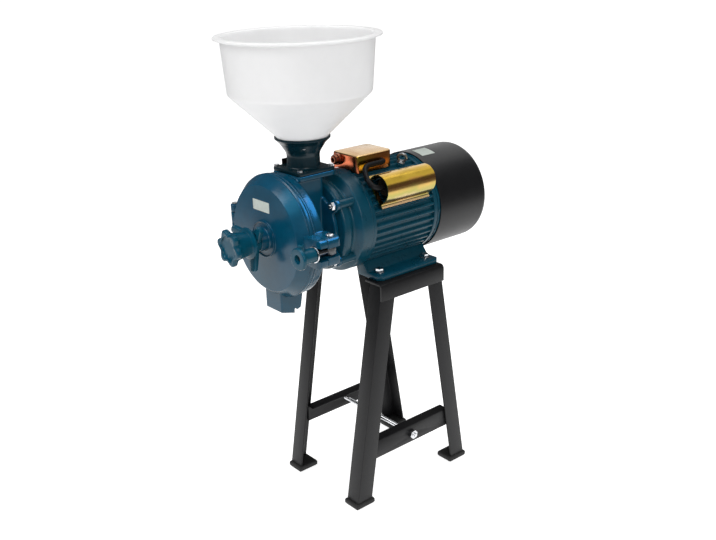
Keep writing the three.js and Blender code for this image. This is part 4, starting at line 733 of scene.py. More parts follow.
def make_housing():
    cone_end, lip_rear = (BAND_REAR + FLANGE_FRONT) / 2, PARTING + LIP_STEP
    seat = HEAD_REAR - head.rear_wall
    profile = [
        (CAVITY, PARTING), (RIM, PARTING, head.lip_round), (RIM, PARTING + head.lip_width, head.lip_round),
        (head.radius - head.groove, lip_rear + head.groove_edge, head.groove_edge),
        (head.radius, lip_rear + head.band_start, head.band_round),
        (head.radius, BAND_REAR - head.band_end, head.cone_round),
        (head.cone, BAND_REAR + head.cone_rise, head.cone_round), (head.waist, cone_end, head.waist_round),
        (head.barrel, cone_end + head.barrel_start, head.barrel_round),
        (head.barrel, FLANGE_FRONT, head.barrel_round), (head.flange_radius, FLANGE_FRONT, head.flange_round),
        (head.flange_radius, HEAD_REAR, head.seat_round), (head.hole, HEAD_REAR), (head.hole, seat),
        (head.bore, seat), (head.bore, FLOOR_FACE), (CAVITY - head.floor_round, FLOOR_FACE, head.floor_round),
        (CAVITY, FLOOR_FACE - head.floor_round, head.floor_round),
    ]
    shell = lathe("head_casting", rounded(profile, steps=6), segments=160)
    half_y, y = (HEAD_REAR - BAND_REAR + head.wall) / 2, (HEAD_REAR + BAND_REAR - head.wall) / 2
    block_outline = rectangle(head.block_half, half_y, head.block_round, 0, y)
    flange_outline = rectangle(inlet.half, inlet.half, inlet.corner, 0, INLET_Y)
    parts = [prism("throat", block_outline, 0, INLET_TOP - head.block_drop, "z"),
             prism("flange", flange_outline, INLET_TOP - inlet.plate, INLET_TOP, "z")]
    ear = [(stud.ear_root, -stud.ear), (stud.ring, -stud.ear), (stud.ring, stud.ear),
           (stud.ear_root, stud.ear)]
    for x, z in stud_places():
        arm = prism("ear", ear, FLANGE_FRONT, HEAD_REAR)
        tip = rod("ear_tip", stud.ear, FLANGE_FRONT, HEAD_REAR, "y", (stud.ring, 0, 0), stud.ear_round, 40)
        parts.append(turned(join(arm, tip), "Y", -math.degrees(math.atan2(z, x))))
    side, back, corner = PIVOT.x + clamp.side, PIVOT.y + clamp.back, clamp.side / 2
    bend = arc(corner, 0, 90, side - corner, back - corner, 6)
    fork = [(side, PARTING + GAP), (side, back - corner), *bend, (clamp.root, back)]
    middle, top = hinge.middle / 2 + GAP, hinge.height / 2
    parts += [chute_body(), clamp_lug("fork", PARTING + GAP, fork)]
    for low, high in ((hinge.z + middle, hinge.z + top), (hinge.z - top, hinge.z - middle)):
        parts.append(knuckle(low, high, PARTING, PARTING + hinge.arm))
    cast(join(shell, *parts))
    face, step = cover.face + GAP, COVER_BACK - LIP_STEP
    room = [
        (0, COVER_FACE - OVER), (face, COVER_FACE - OVER), (face, COVER_FACE + cover.shoulder),
        (head.radius + GAP, step), (RIM + GAP, step), (RIM + GAP, PARTING), (0, PARTING),
    ]
    jaw, gate_side = swing.eye_half + clamp.jaw - clamp.slot + GAP, gate.half_width + GAP
    jaw_root, chute_low = PIVOT.x - swing.eye - swing.eye_clear, -chute.bottom - chute.drop - OVER
    mouth = rectangle(throat.half_x, throat.half_y, throat.corner, 0, INLET_Y)
    tools = [
        drill(CAVITY, CHUTE_FRONT - OVER, FLOOR_FACE, segments=128), lathe("cover_room", room, segments=160),
        drill(head.bore, FLOOR_FACE - OVER, seat, segments=64),
        prism("mouth", mouth, 0, INLET_TOP + OVER, "z"),
        chute_channel(CHUTE_FRONT + chute.wall, CHUTE_REAR - chute.wall, chute_low),
        block("jaw", jaw_root, side + OVER, PARTING - OVER, back + OVER, PIVOT.z - jaw, PIVOT.z + jaw),
        drill(swing.pin + GAP, -swing.pin_hole_half, swing.pin_hole_half, "z", (PIVOT.x, PIVOT.y, 0)),
        block("gate_room", -gate_side, gate_side, INLET_Y - inlet.relief_half, INLET_Y + inlet.relief_half,
              INLET_TOP + inlet.relief, INLET_TOP + OVER),
    ]
    show(cut(shell, *tools), "cover_paint", "chamber_housing", crease=45.0, slot="mill_paint")


def make_cover():
    step, inside = COVER_FACE - cover.boss_height, COVER_FACE + cover.wall
    lip_front = COVER_BACK - LIP_STEP
    profile = [
        (cover.bore, HUB_FACE), (cover.hub, HUB_FACE, cover.hub_round),
        (cover.hub + cover.hub_flare, step + cover.dish, cover.dish_round),
        (cover.ring_inner, step + cover.dish, cover.ring_inner_round),
        (cover.ring_top, step, cover.ring_round), (cover.ring_outer, step, cover.ring_outer_round),
        (cover.boss + cover.boss_flare, COVER_FACE, cover.boss_round),
        (cover.face, COVER_FACE, cover.face_round),
        (head.radius, lip_front - cover.band_end, head.band_round),
        (head.radius - head.groove, lip_front - head.groove_edge, head.groove_edge),
        (RIM, COVER_BACK - head.lip_width, head.lip_round), (RIM, COVER_BACK, head.lip_round),
        (CAVITY, COVER_BACK), (CAVITY, lip_front, cover.inner_round),
        (cover.face - cover.wall, inside, cover.inner_round), (cover.bore, inside),
    ]
    shell = lathe("cover_casting", rounded(profile, steps=6), segments=192)
    side, start = PIVOT.x + clamp.side, math.degrees(math.asin(clamp.side / clamp.nose)) - 90
    nose = arc(clamp.nose, start, -90, PIVOT.x, PIVOT.y, 8)
    ear = clamp_lug("ear", COVER_BACK, [(side, COVER_BACK)] + nose + [(clamp.root, PIVOT.y - clamp.nose)])
    slot = arc(clamp.jaw, 90, 270, PIVOT.x, PIVOT.z)
    slot += [(side + OVER, PIVOT.z - clamp.jaw), (side + OVER, PIVOT.z + clamp.jaw)]
    cut(ear, prism("slot", slot, PIVOT.y - clamp.slot_length, COVER_BACK + OVER))
    middle = hinge.middle / 2
    join(shell, ear, knuckle(hinge.z - middle, hinge.z + middle, COVER_BACK - hinge.arm, COVER_BACK))
    cut(shell, chute_channel(CHUTE_FRONT + chute.wall, COVER_BACK + OVER, -RIM - OVER),
        drill(CAVITY, lip_front, COVER_BACK + OVER, segments=96),
        drill(hinge.pin + GAP, hinge.hole_low, hinge.hole_high, "z", (hinge.x, HINGE_Y, 0)))
    low, high = COVER_FACE + cover.wall / 2, PLATE_REAR - pins.short
    places = ((-pins.pitch, 0, 0), (pins.pitch, 0, 0))
    join(shell, *[rod("guide_pin", pins.radius, low, high, at=at, segments=24) for at in places])
    show(shell, "cover_paint", "front_cover")


def plate_field(name, inset, corner, low, high):
    outline = rectangle(plate.half_x - inset, plate.half_z - inset, corner, plate.x, plate.z)
    return prism(name, outline, low, high)


def make_name_plates():
    """Blank plates where the photograph has labels: one on the cover, one round the fan cover."""
    front = COVER_FACE - plate.thickness
    piece = plate_field("cover_plate", 0, plate.corner, front, COVER_FACE)
    border = plate_field("border", plate.border, plate.border_corner, front - plate.over,
                         front + plate.border_depth)
    field = plate_field("field", plate.field, plate.field_corner, front - 2 * plate.over, front + plate.over)
    show(cut(piece, cut(border, field)), "name_plate", slot="bright_plate")
    angles = plate.low_angle, plate.high_angle
    outline = arc(cowl.radius + plate.thickness, *angles) + arc(cowl.radius, *angles)[::-1]
    piece = prism("fan_plate", outline, plate.y, plate.y + plate.length)
    show(piece, "name_plate", slot="bright_plate")


def make_hinge_pin():
    low, high = hinge.z - hinge.height / 2, hinge.z + hinge.height / 2 + GAP
    at = (hinge.x, HINGE_Y, 0)
    pin = rod("hinge_pin", hinge.pin, low, high, "z", at, hinge.edge, 32)
    join(pin, rod("cap", hinge.head, high, high + hinge.head_height, "z", at, hinge.head_round, 32))
    show(pin, "bare_steel", "cover_hinge_pin")


# Controls on the cover
def make_lock():
    """A hub with three arms; each has a channel in its front and leans forward towards its tip."""
    outline = [(cover.bore, LOCK_FRONT), (lock.hub, LOCK_FRONT, lock.edge), (lock.hub, LOCK_REAR, lock.edge),
               (cover.bore, LOCK_REAR)]
    hub = lathe("lock_wheel_cast", rounded(outline))
    low, end = LOCK_FRONT - lock.over, lock.arm - lock.tip
    channel = rectangle((end - lock.channel_start) / 2, lock.channel_half, lock.channel_round,
                        (lock.channel_start + end) / 2)
    side = [(lock.arm_root, -lock.root_half, 0), (lock.hub, -lock.root_half, lock.root_round),
            (lock.arm, -lock.arm_half, lock.tip_round)]
    path = side + [(a, -b, own) for a, b, own in reversed(side)]
    for i in range(lock.arms):
        arm = soften(prism("arm", rounded(path), LOCK_FRONT, LOCK_FRONT + lock.thickness), lock.arm_edge)
        for vertex in arm.data.vertices:
            vertex.co.y -= lock.dish * max(0.0, vertex.co.x - lock.bend) / (lock.arm - lock.bend)
        cut(arm, prism("channel", channel, low, LOCK_FRONT + lock.channel_depth))
        join(hub, turned(arm, "Y", -(lock.phase + 360 * i / lock.arms)))
    cut(hub, drill(cover.bore, low, LOCK_REAR + lock.over, segments=48))
    show(hub, "knob_paint", "lock_wheel", body="lock", slot="cover_paint")


def lobed_ring(y, mean, lobe, steps=144):
    ring = []
    for i in range(steps):
        degrees = 360 * i / steps
        x, z = polar(mean + lobe * math.cos(math.radians(knob.lobes * (degrees - knob.phase))), degrees)
        ring.append((x, y, z))
    return ring


def make_knob():
    """The knob tapers as a round barrel and swells into six soft lobes at its rim."""
    skirt_front, rim_rear = KNOB_REAR - knob.skirt_width, KNOB_FACE + knob.rim
    floor = KNOB_FACE + knob.recess_depth
    # From a level and a radius, each point goes so far back and out, with a share of the lobes
    runs = (
        (KNOB_REAR, knob.skirt, ((0, -1.0, 0), (-knob.skirt_edge, 0, 0))),
        (skirt_front, knob.skirt, ((knob.skirt_edge, 0, 0), (0, -1.0, 0))),
        (skirt_front, knob.barrel_rear, ((-0.3, 2.2, 0), (-1.6, 0.5, 0), (-3.2, 0.3, 0))),
        (rim_rear, knob.barrel_front, ((4.5, -0.9, 0), (2.0, -0.3, 0.05), (0.7, 0.6, 0.4))),
        (rim_rear, knob.mean, ((0, -1.2, 0.8), (-1.2, -0.2, 1), (-2.4, 0, 1))),
        (KNOB_FACE, knob.mean, ((2.2, 0, 1), (0.8, -0.4, 1), (0.15, -1.3, 1), (0, -2.4, 0.95))),
        (KNOB_FACE, knob.recess, ((0, 1.6, 0.5), (0.3, 0.8, 0.35), (1.0, 0.2, 0.2))),
        (floor, knob.recess, ((-0.5, -0.3, 0.1), (0, -1.2, 0))),
        (floor, 0, ((0, knob.recess * knob.middle_share, 0), (0, knob.middle, 0))),
    )
    rings = []
    for level, radius, points in runs:
        for back, out, share in points:
            rings.append(lobed_ring(level + back, radius + out, knob.lobe * share))
    piece = loft("knob_cast", rings)
    cut(piece, drill(cover.bore, KNOB_FACE + knob.buried, KNOB_REAR + knob.over, segments=48))
    show(piece, "knob_paint", "adjusting_knob", body="knob", slot="cover_paint")


def make_clamp():
    x, y, z = PIVOT
    piece = rod("swing_eye", swing.eye, z - swing.eye_half, z + swing.eye_half, "z", (x, y, 0),
                swing.eye_round)
    join(piece, rod("shank", swing.shank, y - swing.shank_end, y - swing.pin, "y", (x, 0, z),
                    swing.shank_round, 32),
         thread(swing.shank, y - swing.length, y - swing.thread_start, "y", (x, 0, z)))
    cut(piece, drill(swing.pin + GAP, z - swing.hole_half, z + swing.hole_half, "z", (x, y, 0)))
    # The plated swing bolt is drawn in dark steel: painted shade between the jaws
    show(piece, "dull_steel", "swing_bolt", body="clamp_bolt", slot="bright_plate")
    low, top = z - clamp.half_height - swing.pin_low, z + clamp.half_height + GAP
    pin = rod("pivot_pin", swing.pin, low, top + swing.pin_top, "z", (x, y, 0), swing.pin_round, 32)
    cap_top = top + swing.pin_head_height
    dome = [
        (0, top), (swing.pin_head, top, swing.pin_head_round),
        (swing.pin_head, top + swing.pin_head_side, swing.dome_round),
        (swing.dome, cap_top, swing.dome_round), (0, cap_top),
    ]
    join(pin, lathe("cap", rounded(dome, closed=False), "z", (x, y, 0), 32))
    show(pin, "bright_plate", "swing_bolt_pin")


def make_hand_nut():
    """The clamp's washer, and its round nut with a hollow stub on top."""
    at, bore = (PIVOT.x, 0, PIVOT.z), swing.shank + GAP
    rim = [(bore, WASHER_FRONT), (washer.radius, WASHER_FRONT, washer.edge),
           (washer.radius, NUT_SEAT, washer.edge), (bore, NUT_SEAT)]
    show(lathe("washer_plate", rounded(rim), at=at, segments=64), "bright_plate", "clamp_washer",
         body="clamp_slider")
    profile = [
        (bore, NUT_FRONT + nut.mouth_depth),
        (nut.mouth - nut.mouth_flare, NUT_FRONT + nut.mouth_step, nut.mouth_step_round),
        (nut.mouth, NUT_FRONT, nut.mouth_round), (nut.flange - nut.flange_edge, NUT_FRONT, nut.flange_round),
        (nut.flange, NUT_FRONT + nut.flange_rise, nut.flange_edge),
        (nut.flange, NUT_FRONT + nut.flange_width, nut.rear_round),
        (nut.barrel, NUT_FRONT + 2 * nut.flange_width - nut.barrel_start, nut.barrel_round),
        (nut.barrel, NUT_REAR - nut.step, nut.step_round), (nut.barrel, NUT_REAR, nut.end_round),
        (bore, NUT_REAR),
    ]
    piece = lathe("hand_nut_cast", rounded(profile, nut.soft, 6), at=at)
    stub_at, end = (PIVOT.x, NUT_FRONT + nut.stub_inset, 0), PIVOT.z + nut.stub_reach
    join(piece, rod("stub", nut.stub, PIVOT.z + nut.stub_start, end, "z", stub_at, nut.stub_round, 40))
    cut(piece, drill(nut.stub_hole, end - nut.stub_hole_depth, end + OVER, "z", stub_at, 24))
    show(piece, "knob_paint", "hand_nut", body="clamp_nut", slot="cover_paint")


def make_studs():
    seat = FLANGE_FRONT - GAP
    front, end = seat - stud.nut_height, BELL_FRONT + stud.depth
    for name, (x, z) in zip(("near_upper", "far_upper", "far_lower", "near_lower"), stud_places()):
        piece = hexagon(f"stud_nut_{name}", stud.nut, front, seat, (x, 0, z), "y", stud.turn)
        join(piece, thread(stud.shank, front - stud.stick_out, end, "y", (x, 0, z), stud.pitch))
        show(piece, "bright_plate", f"head_stud_{name}")


# Motor
def make_bell():
    ring_front, bulge_rear = BELL_REAR - bell.ring_width, BELL_FRONT + bell.bulge_width
    waist, inner = (bulge_rear + ring_front) / 2, bell.waist - bell.wall
    ring_inner, hub_rear = bell.ring - bell.wall, BELL_REAR - bell.hub_rear
    profile = [
        (bell.bore, BELL_FRONT), (bell.bulge, BELL_FRONT, bell.nose),
        (bell.bulge, bulge_rear, bell.bulge_round), (bell.waist, waist, bell.waist_round),
        (bell.ring, ring_front, bell.ring_round), (bell.ring, BELL_REAR, bell.rear_round),
        (ring_inner, BELL_REAR), (ring_inner, ring_front + bell.wall / 2), (inner, waist + bell.wall / 2),
        (inner, BELL_FRONT + bell.wall), (bell.hub, BELL_FRONT + bell.wall), (bell.hub, hub_rear),
        (bell.bore, hub_rear),
    ]
    shell = lathe("bell_casting", rounded(profile, steps=7), segments=128)
    end = ring_front + stud.boss_over
    join(shell, *[rod("boss", stud.boss, BELL_FRONT, end, "y", (x, 0, z), bell.boss_round, 32)
                  for x, z in stud_places()])
    show(shell, "mill_paint", "front_bell")


def fin_outline():
    """The frame seen from its end, with its fins all round."""
    side = [(motor.core, -fin.root_lean, fin.root_round), (fin.tip, -fin.tip_lean, fin.tip_round)]
    side += [(radius, -lean, corner) for radius, lean, corner in reversed(side)]
    points = []
    for i in range(fin.count):
        for radius, lean, corner in side:
            points.append((*polar(radius, 360 * i / fin.count + lean), corner))
    return rounded(points, steps=3)


def make_foot(side):
    low, shelf = FRAME_LOW, FRAME_LOW + foot.plate
    corners = [
        (foot.half_width, low, 0), (foot.half_width, shelf, foot.plate_round),
        (foot.web_bottom + foot.shelf_shift, shelf, foot.shelf_round),
        (foot.web_top, foot.web_top_level, foot.web_round), (foot.web_inner, foot.inner_level, 0),
        (foot.web_inner, low, foot.inner_round),
    ]
    outline = rounded([(side * x, z, own) for x, z, own in corners])
    piece = prism("foot", outline, -foot.half_length, foot.half_length)
    for end in (1, -1):
        x, y = side * foot.half_width, end * foot.half_length
        past_x, past_y = x + side * OVER, y + end * OVER
        wedge = [(past_x, past_y), (past_x, y - end * foot.chamfer), (x - side * foot.chamfer, past_y)]
        cut(piece, prism("wedge", wedge, low - OVER, shelf + OVER, "z"))
    return soften(piece, foot.edge, angle=40)


def make_frame():
    half_rim, half_boss = motor.rim_width / 2, cap.boss_length / 2
    body = prism("frame_casting", fin_outline(), FRAME_FRONT + half_rim, FRAME_REAR - half_rim)
    parts = [make_foot(1), make_foot(-1)]
    for low in (FRAME_FRONT, FRAME_REAR - motor.rim_width):
        high = low + motor.rim_width
        ring = [(motor.rim_inner, low), (motor.rim, low, motor.rim_round), (motor.rim, high, motor.rim_round),
                (motor.rim_inner, high)]
        parts.append(lathe("rim", rounded(ring), segments=128))
    seat = block("seat", -box.seat_x, box.seat_x, BOX_Y - box.seat_y, BOX_Y + box.seat_y, motor.bore,
                 fin.tip + box.seat_rise)
    parts.append(soften(seat, box.seat_edge))
    for end in (CAP_START + cap.boss_inset, CAP_START + cap.length - cap.boss_inset):
        for x in (-cap.radius - cap.flange / 2, cap.radius + cap.flange / 2):
            boss = block("boss", x - cap.boss_half, x + cap.boss_half, end - half_boss, end + half_boss,
                         cap.boss_low, cap.base - GAP)
            parts.append(turned(boss, "Y", 90 - cap.lean))
    pad = rod("eye_seat", eye.seat, motor.bore, fin.tip + eye.seat_height, "z", edge=eye.seat_round,
              segments=40)
    join(body, *parts, moved(turned(pad, "Y", eye.lean), y=EYE_Y))
    cut(body, drill(motor.bore, FRAME_FRONT - OVER, FRAME_REAR + OVER, segments=128))
    show(body, "mill_paint", "motor_frame")


def make_foot_bolts():
    seat = FRAME_LOW + foot.plate + GAP
    top = seat + bolt.washer
    for side, x in (("near", foot.bolt_x), ("far", -foot.bolt_x)):
        for end, y in (("front", -foot.bolt_y), ("rear", foot.bolt_y)):
            name, at = f"foot_bolt_{side}_{end}", (x, y, 0)
            piece = rod(name + "_made", bolt.washer_radius, seat, top, "z", at, bolt.washer_round, 40)
            hex_head = hexagon("head", bolt.head, top - bolt.sunk, top + bolt.head_height, at, "z", bolt.turn)
            join(piece, hex_head, thread(bolt.shank, bolt.end, seat + bolt.thread_over, "z", at))
            show(piece, "bright_plate", name)


def make_cowl():
    inner, end = cowl.radius - cowl.wall, COWL_REAR - cowl.wall
    profile = [
        (0, end), (inner, end, cowl.corner - cowl.wall), (inner, COWL_FRONT),
        (cowl.radius, COWL_FRONT, cowl.front_round), (cowl.radius, COWL_REAR, cowl.corner), (0, COWL_REAR),
    ]
    shell = lathe("fan_cowl", rounded(profile, steps=9, closed=False), segments=160)
    spread, half = 180 / slots.per_ring * slots.share, slots.width / 2
    tools = []
    for row in range(slots.rings):
        middle = slots.first + slots.pitch * row
        for i in range(slots.per_ring):
            centre = 360 * i / slots.per_ring
            outline = arc(middle + half, centre - spread, centre + spread)
            outline += arc(middle - half, centre + spread, centre - spread)
            tools.append(prism("slot", outline, COWL_REAR - slots.depth, COWL_REAR + OVER))
    show(cut(shell, *tools), "cowl_paint", "fan_cover")


def make_terminal_box():
    low = fin.tip + box.seat_rise - box.skirt
    body = prism("box_shell", rectangle(box.half_x, box.half_y, box.corner, 0, BOX_Y), low, BOX_TOP, "z")
    soften(body, box.edge)
    hollow = rectangle(box.half_x - box.wall, box.half_y - box.wall, box.corner - box.wall, 0, BOX_Y)
    gland_at = (gland.x, 0, BOX_TOP - gland.drop)
    cut(body, prism("hollow", hollow, low - OVER, BOX_TOP - box.wall, "z"),
        drill(fin.tip + box.clear, FRAME_FRONT, FRAME_REAR, segments=128),
        drill(gland.radius + GAP, BOX_FRONT - OVER, BOX_FRONT + OVER, at=gland_at))
    show(body, "zinc_sides", "terminal_box", slot="yellow_zinc")
    # The top faces take the paler top finish: a painted sheen over the film's own tint
    body.data.materials.append(FINISHES["zinc_top"])
    top = ORIGIN.z + (BOX_TOP - box.top_band) * MM
    for face in body.data.polygons:
        face.material_index = int(face.center.z > top)


def make_gland():
    outside, inside = BOX_FRONT - GAP, BOX_FRONT + box.wall + GAP
    mouth, nut_front, rear = BOX_FRONT - gland.length, outside - gland.nut_length, inside + gland.nut_length
    profile = [
        (gland.bore, mouth), (gland.radius - gland.taper, mouth, gland.mouth_round),
        (gland.radius, mouth + gland.taper, gland.mouth_round), (gland.radius, nut_front),
        (gland.nut, nut_front, gland.nut_round), (gland.nut, outside, gland.rear_round),
        (gland.radius, outside), (gland.radius, rear), (gland.bore, rear),
    ]
    piece = lathe("gland_body", rounded(profile, gland.soft, 4), "y", (gland.x, 0, BOX_TOP - gland.drop), 40)
    show(piece, "yellow_zinc", "cable_gland")


def make_capacitor_cover():
    """Bent sheet: an arch with soft bends into its two flanges, open at both ends."""
    floor, crown, end = cap.base + cap.wall, cap.base + cap.legs, CAP_START + cap.length
    edge, inner = cap.radius + cap.flange, cap.radius - cap.wall
    right = [(edge, cap.base, 0), (edge, floor, cap.edge), (cap.radius, floor, cap.bend)]
    left = [(-a, b, own) for a, b, own in reversed(right)]
    outline = right + arc(cap.radius, 0, 180, 0, crown, 24) + left + [(-inner, cap.base, cap.inner_bend)]
    outline += arc(inner, 180, 0, 0, crown, 24) + [(inner, cap.base, cap.inner_bend)]
    piece = prism("cap_cover", rounded(outline), CAP_START, end)
    strap_low, strap_top = fin.tip + cap.strap_gap, cap.base + cap.strap_sunk
    for low in (CAP_START, end - cap.strap):
        join(piece, block("strap", -edge, edge, low, low + cap.strap, strap_low, strap_top))
    show(turned(piece, "Y", 90 - cap.lean), "zinc_cap", "capacitor_cover", slot="yellow_zinc")


def make_eye():
    """A lifting eye: a round ring on a collared stem."""
    low = fin.tip + eye.seat_height + GAP
    centre, stem_low = low + eye.rise, motor.core + GAP
    middle, thick = (eye.ring + eye.hole) / 2, (eye.ring - eye.hole) / 2
    count, around = 48, 16
    points, faces = [], []
    for k in range(count):
        for j in range(around):
            out, level = polar(thick, 360 * j / around, middle)
            x, z = polar(out, 360 * k / count)
            points.append((x, level, centre + z))
            a, b, c = k * around, (k + 1) % count * around, (j + 1) % around
            faces.append((a + j, a + c, b + c, b + j))
    loop = build("eye_ring", points, faces)
    profile = [
        (0, stem_low), (eye.stem, stem_low), (eye.stem, low), (eye.collar, low, eye.collar_round),
        (eye.collar, low + eye.collar_height, eye.shoulder_round),
        (eye.neck, low + eye.neck_height, eye.neck_round), (0, low + eye.neck_height),
    ]
    join(loop, lathe("neck", rounded(profile, closed=False), "z", segments=32))
    loop = moved(turned(turned(loop, "Z", eye.turn), "Y", eye.lean), y=EYE_Y)
    show(loop, "bare_steel", "lifting_eye")


def make_lead():
    """The sleeve leaves the box squarely, bows forward along it and enters the capacitor cover."""
    side, level, y = box.half_x + GAP, BOX_TOP - lead.drop, BOX_Y + lead.offset
    can_x, _, can_z = cap_side(0, cap.can_axis)
    can_front = CAP_START + (cap.length - cap.can_length) / 2 - GAP
    bow, before = side + lead.bow, CAP_START - 2 * lead.radius
    path = [
        (side, y, level), (side + lead.stub, y, level), (bow, y - lead.turn, level),
        (bow, y - lead.bow, level), (bow, BOX_FRONT + lead.bow + lead.forward, level),
        (bow + lead.sway, before + lead.bend, level - lead.fall),
        ((bow + can_x) / 2, before - lead.turn, (level + can_z) / 2),
        (can_x - lead.entry, before - lead.turn, can_z + lead.entry), (can_x, can_front - lead.bow, can_z),
        (can_x, can_front, can_z),
    ]
    show(tube("lead_sleeve", path, lead.radius), "black_plastic", "capacitor_lead")


# Stand
def make_stand():
    for side in ("near", "far"):
        members = [("rail_" + side, "steel", steel.rail_edge), ("brace_" + side, "steel", steel.brace_edge)]
        for end in ("front", "rear"):
            members.append((f"leg_{side}_{end}", "steel", steel.leg_edge))
            members.append((f"foot_pad_{side}_{end}", "rubber", steel.pad_edge))
        for solid, stuff, width in members:
            piece = soften(copy_of(solid, f"{solid}_{stuff}"), width, angle=steel.bevel_angle)
            show(piece, {"steel": "stand_steel", "rubber": "pad_rubber"}[stuff], solid)


def make_tie_rod():
    low, high = span("tie_rod")
    at = (0, (low.y + high.y) / 2, (low.z + high.z) / 2)
    piece = thread(tie.radius, low.x, high.x, "x", at, name="tie_rod_made")
    for start in (low.x + tie.nut_inset, high.x - tie.nut_inset - tie.nut_height):
        join(piece, hexagon("nut", tie.nut, start, start + tie.nut_height, at, "x", tie.turn))
    show(piece, "bright_plate", "tie_rod")


# Studio, in metres and watts
# The far floor colour is painted shade, seen only in reflections far from the mill
studio = sizes(floor_half=30.0, floor_colour=(0.8, 0.8, 0.8), far_colour=(0.12, 0.12, 0.12), floor_rough=0.8,
               lift=0.72, bright_floor=1.3, dark_floor=2.4, least_lift=0.1, sky_light=0.52, sky_shine=0.1)
WHITE = (1, 1, 1)


def place_camera(scene):
    lens = bpy.data.cameras.new("view")
    lens.lens, lens.sensor_width = view.lens, view.sensor
    lens.shift_x, lens.shift_y = view.shift
    lens.clip_start, lens.clip_end = view.near, view.far
    scene.camera = placed("view", lens)
    turn, drop, roll = (math.radians(a) for a in (view.turn, view.drop, view.roll))
    forward = Vector((-math.sin(turn) * math.cos(drop), math.cos(turn) * math.cos(drop), -math.sin(drop)))
    right = Vector((math.cos(turn), math.sin(turn), 0))
    up = right.cross(forward)
    across = right * math.cos(roll) + up * math.sin(roll)
    upward = up * math.cos(roll) - right * math.sin(roll)
    rotation = Matrix((across, upward, -forward)).transposed().to_4x4()
    scene.camera.matrix_world = Matrix.Translation(ORIGIN + Vector(view.at) * MM) @ rotation


def seen_rays(tree):
    """What is one where the camera or glass looks, and what is one where a reflection looks."""
    path = node(tree, "LightPath")
    direct = calculate(tree, "MAXIMUM", path.outputs["Is Camera Ray"], path.outputs["Is Transmission Ray"])
    return direct, path.outputs["Is Glossy Ray"]


def make_sky(scene):
    """A white sky: full for the camera, lower as light and faint in reflections."""
    scene.world = bpy.data.worlds.new("studio")
    scene.world.use_nodes = True
    tree = scene.world.node_tree
    sky = tree.nodes["Background"]
    sky.inputs["Color"].default_value = (*WHITE, 1)
    direct, glossy = seen_rays(tree)
    light, shine = studio.sky_light, studio.sky_shine
    lit = calculate(tree, "ADD", calculate(tree, "MULTIPLY", direct, 1 - light), light)
    dimmed = calculate(tree, "MULTIPLY", glossy, shine - light)
    tree.links.new(calculate(tree, "ADD", lit, dimmed), sky.inputs["Strength"])


def make_floor():
    """A pale floor that the camera sees as white; reflections see it bright around the mill and, as painted
    shade, dark further off.
    """
    half = studio.floor_half
    mesh = bpy.data.meshes.new("floor")
    mesh.from_pydata([(-half, -half, 0), (half, -half, 0), (half, half, 0), (-half, half, 0)], [],
                     [(0, 1, 2, 3)])
    pale, tree, shader, place = blank("floor", 0.0, Roughness=studio.floor_rough, Emission_Color=(*WHITE, 1))
    direct, glossy = seen_rays(tree)
    away = node(tree, "VectorMath", operation="LENGTH", Vector=place).outputs["Value"]
    near, far = studio.bright_floor, studio.dark_floor
    fade = node(tree, "MapRange", interpolation_type="SMOOTHSTEP", From_Min=near, From_Max=far, To_Min=1.0,
                To_Max=studio.least_lift, Value=away).outputs["Result"]
    share = calculate(tree, "ADD", direct, calculate(tree, "MULTIPLY", glossy, fade))
    dimmed = calculate(tree, "MULTIPLY", glossy, calculate(tree, "SUBTRACT", 1.0, fade))
    # Further off, reflections see the floor's colour turn dark: painted shade
    ground = node(tree, "MixRGB", Color1=(*studio.floor_colour, 1), Color2=(*studio.far_colour, 1),
                  Fac=dimmed)
    tree.links.new(ground.outputs["Color"], shader.inputs["Base Color"])
    tree.links.new(calculate(tree, "MULTIPLY", share, studio.lift), shader.inputs["Emission Strength"])
    mesh.materials.append(pale)
    placed("floor", mesh)


# Each lamp: its name, place, aim, width, power and colour
LAMPS = (
    ("key", (-0.6, -2.1, 2.5), (0, 0, 0.5), 1.5, 31.0, WHITE),
    ("side", (2.5, -0.9, 1.9), (0, 0, 0.5), 1.4, 22.0, WHITE),
    ("top", (0.2, 0.6, 3.0), (0, 0, 0.5), 1.8, 30.0, WHITE),
)
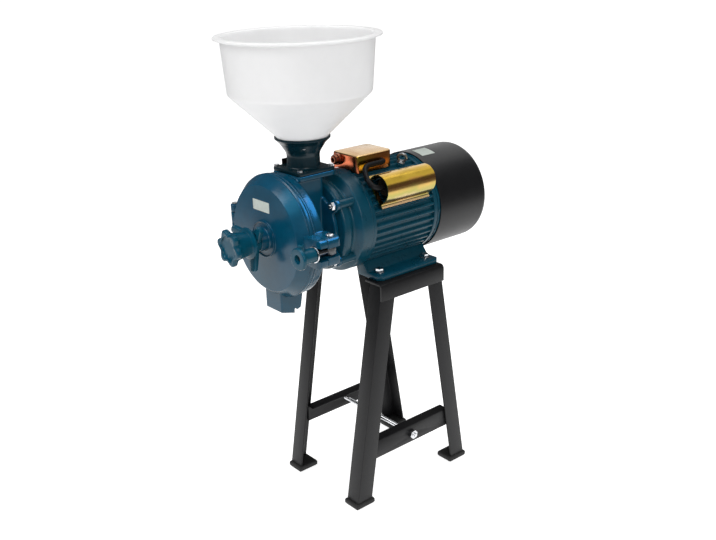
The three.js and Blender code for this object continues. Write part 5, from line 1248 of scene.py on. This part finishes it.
# Cards light some finishes only, and the rim card shows in reflections alone
ZINC = ("zinc_top", "zinc_sides", "zinc_cap")
PAINT = ("mill_paint", "cover_paint", "knob_paint")
CARDS = (
    ("blue_card", (0.25, -1.0, 1.8), (0, -0.1, 0.55), 0.9, 9.0, (0.1, 0.6, 1.0), PAINT),
    ("rim_card", (0.42, 0.34, 1.22), (0.05, -0.16, 0.58), 0.62, 17.0, (0.06, 0.4, 1.0), ("cover_paint",)),
    ("under_card", (0.5, -0.85, 0.12), (0, -0.1, 0.7), 0.6, 1.5, WHITE, ("white_plastic",)),
    ("pale_card", (-1.4, 1.9, 1.9), (0, 0, 0.6), 3.0, 28.0, WHITE,
     (*ZINC, "yellow_zinc", "bright_plate", "bare_steel", "cowl_paint")),
    ("low_card", (-1.5, -1.3, 0.3), (0, 0, 0.6), 1.3, 6.0, WHITE, ("zinc_sides", "yellow_zinc")),
    ("high_card", (0.9, 1.7, 2.6), (0, 0, 0.6), 2.2, 11.0, WHITE, (*ZINC, "bright_plate", "bare_steel")),
)


def add_lamp(name, at, aim, width, power, colour):
    lamp = bpy.data.lights.new(name, "AREA")
    lamp.size, lamp.energy, lamp.color = width, power, colour
    holder = placed(name, lamp)
    holder.location = at
    holder.rotation_euler = (Vector(aim) - Vector(at)).to_track_quat("-Z", "Y").to_euler()
    holder.visible_camera = False
    return holder


def make_lamps(scene):
    for lamp in LAMPS:
        add_lamp(*lamp)
    for *lamp, finishes in CARDS:
        seen_by = bpy.data.collections.new(lamp[0])
        coats = {FINISHES[finish] for finish in finishes}
        for piece in scene.objects:
            if piece.type == "MESH" and coats.intersection(piece.data.materials):
                seen_by.objects.link(piece)
        card = add_lamp(*lamp)
        card.visible_diffuse = card.name != "rim_card"
        card.light_linking.receiver_collection = seen_by


def make_studio():
    scene = bpy.context.scene
    scene.view_settings.view_transform = "Standard"
    place_camera(scene)
    make_sky(scene)
    make_floor()
    make_lamps(scene)


carry_finishes()
for make in (make_hopper, make_collar, make_screws, make_housing, make_cover, make_name_plates,
             make_hinge_pin, make_lock, make_knob, make_clamp, make_hand_nut, make_studs, make_bell,
             make_frame, make_foot_bolts, make_cowl, make_terminal_box, make_gland, make_capacitor_cover,
             make_eye, make_lead, make_stand, make_tie_rod, make_studio):
    make()
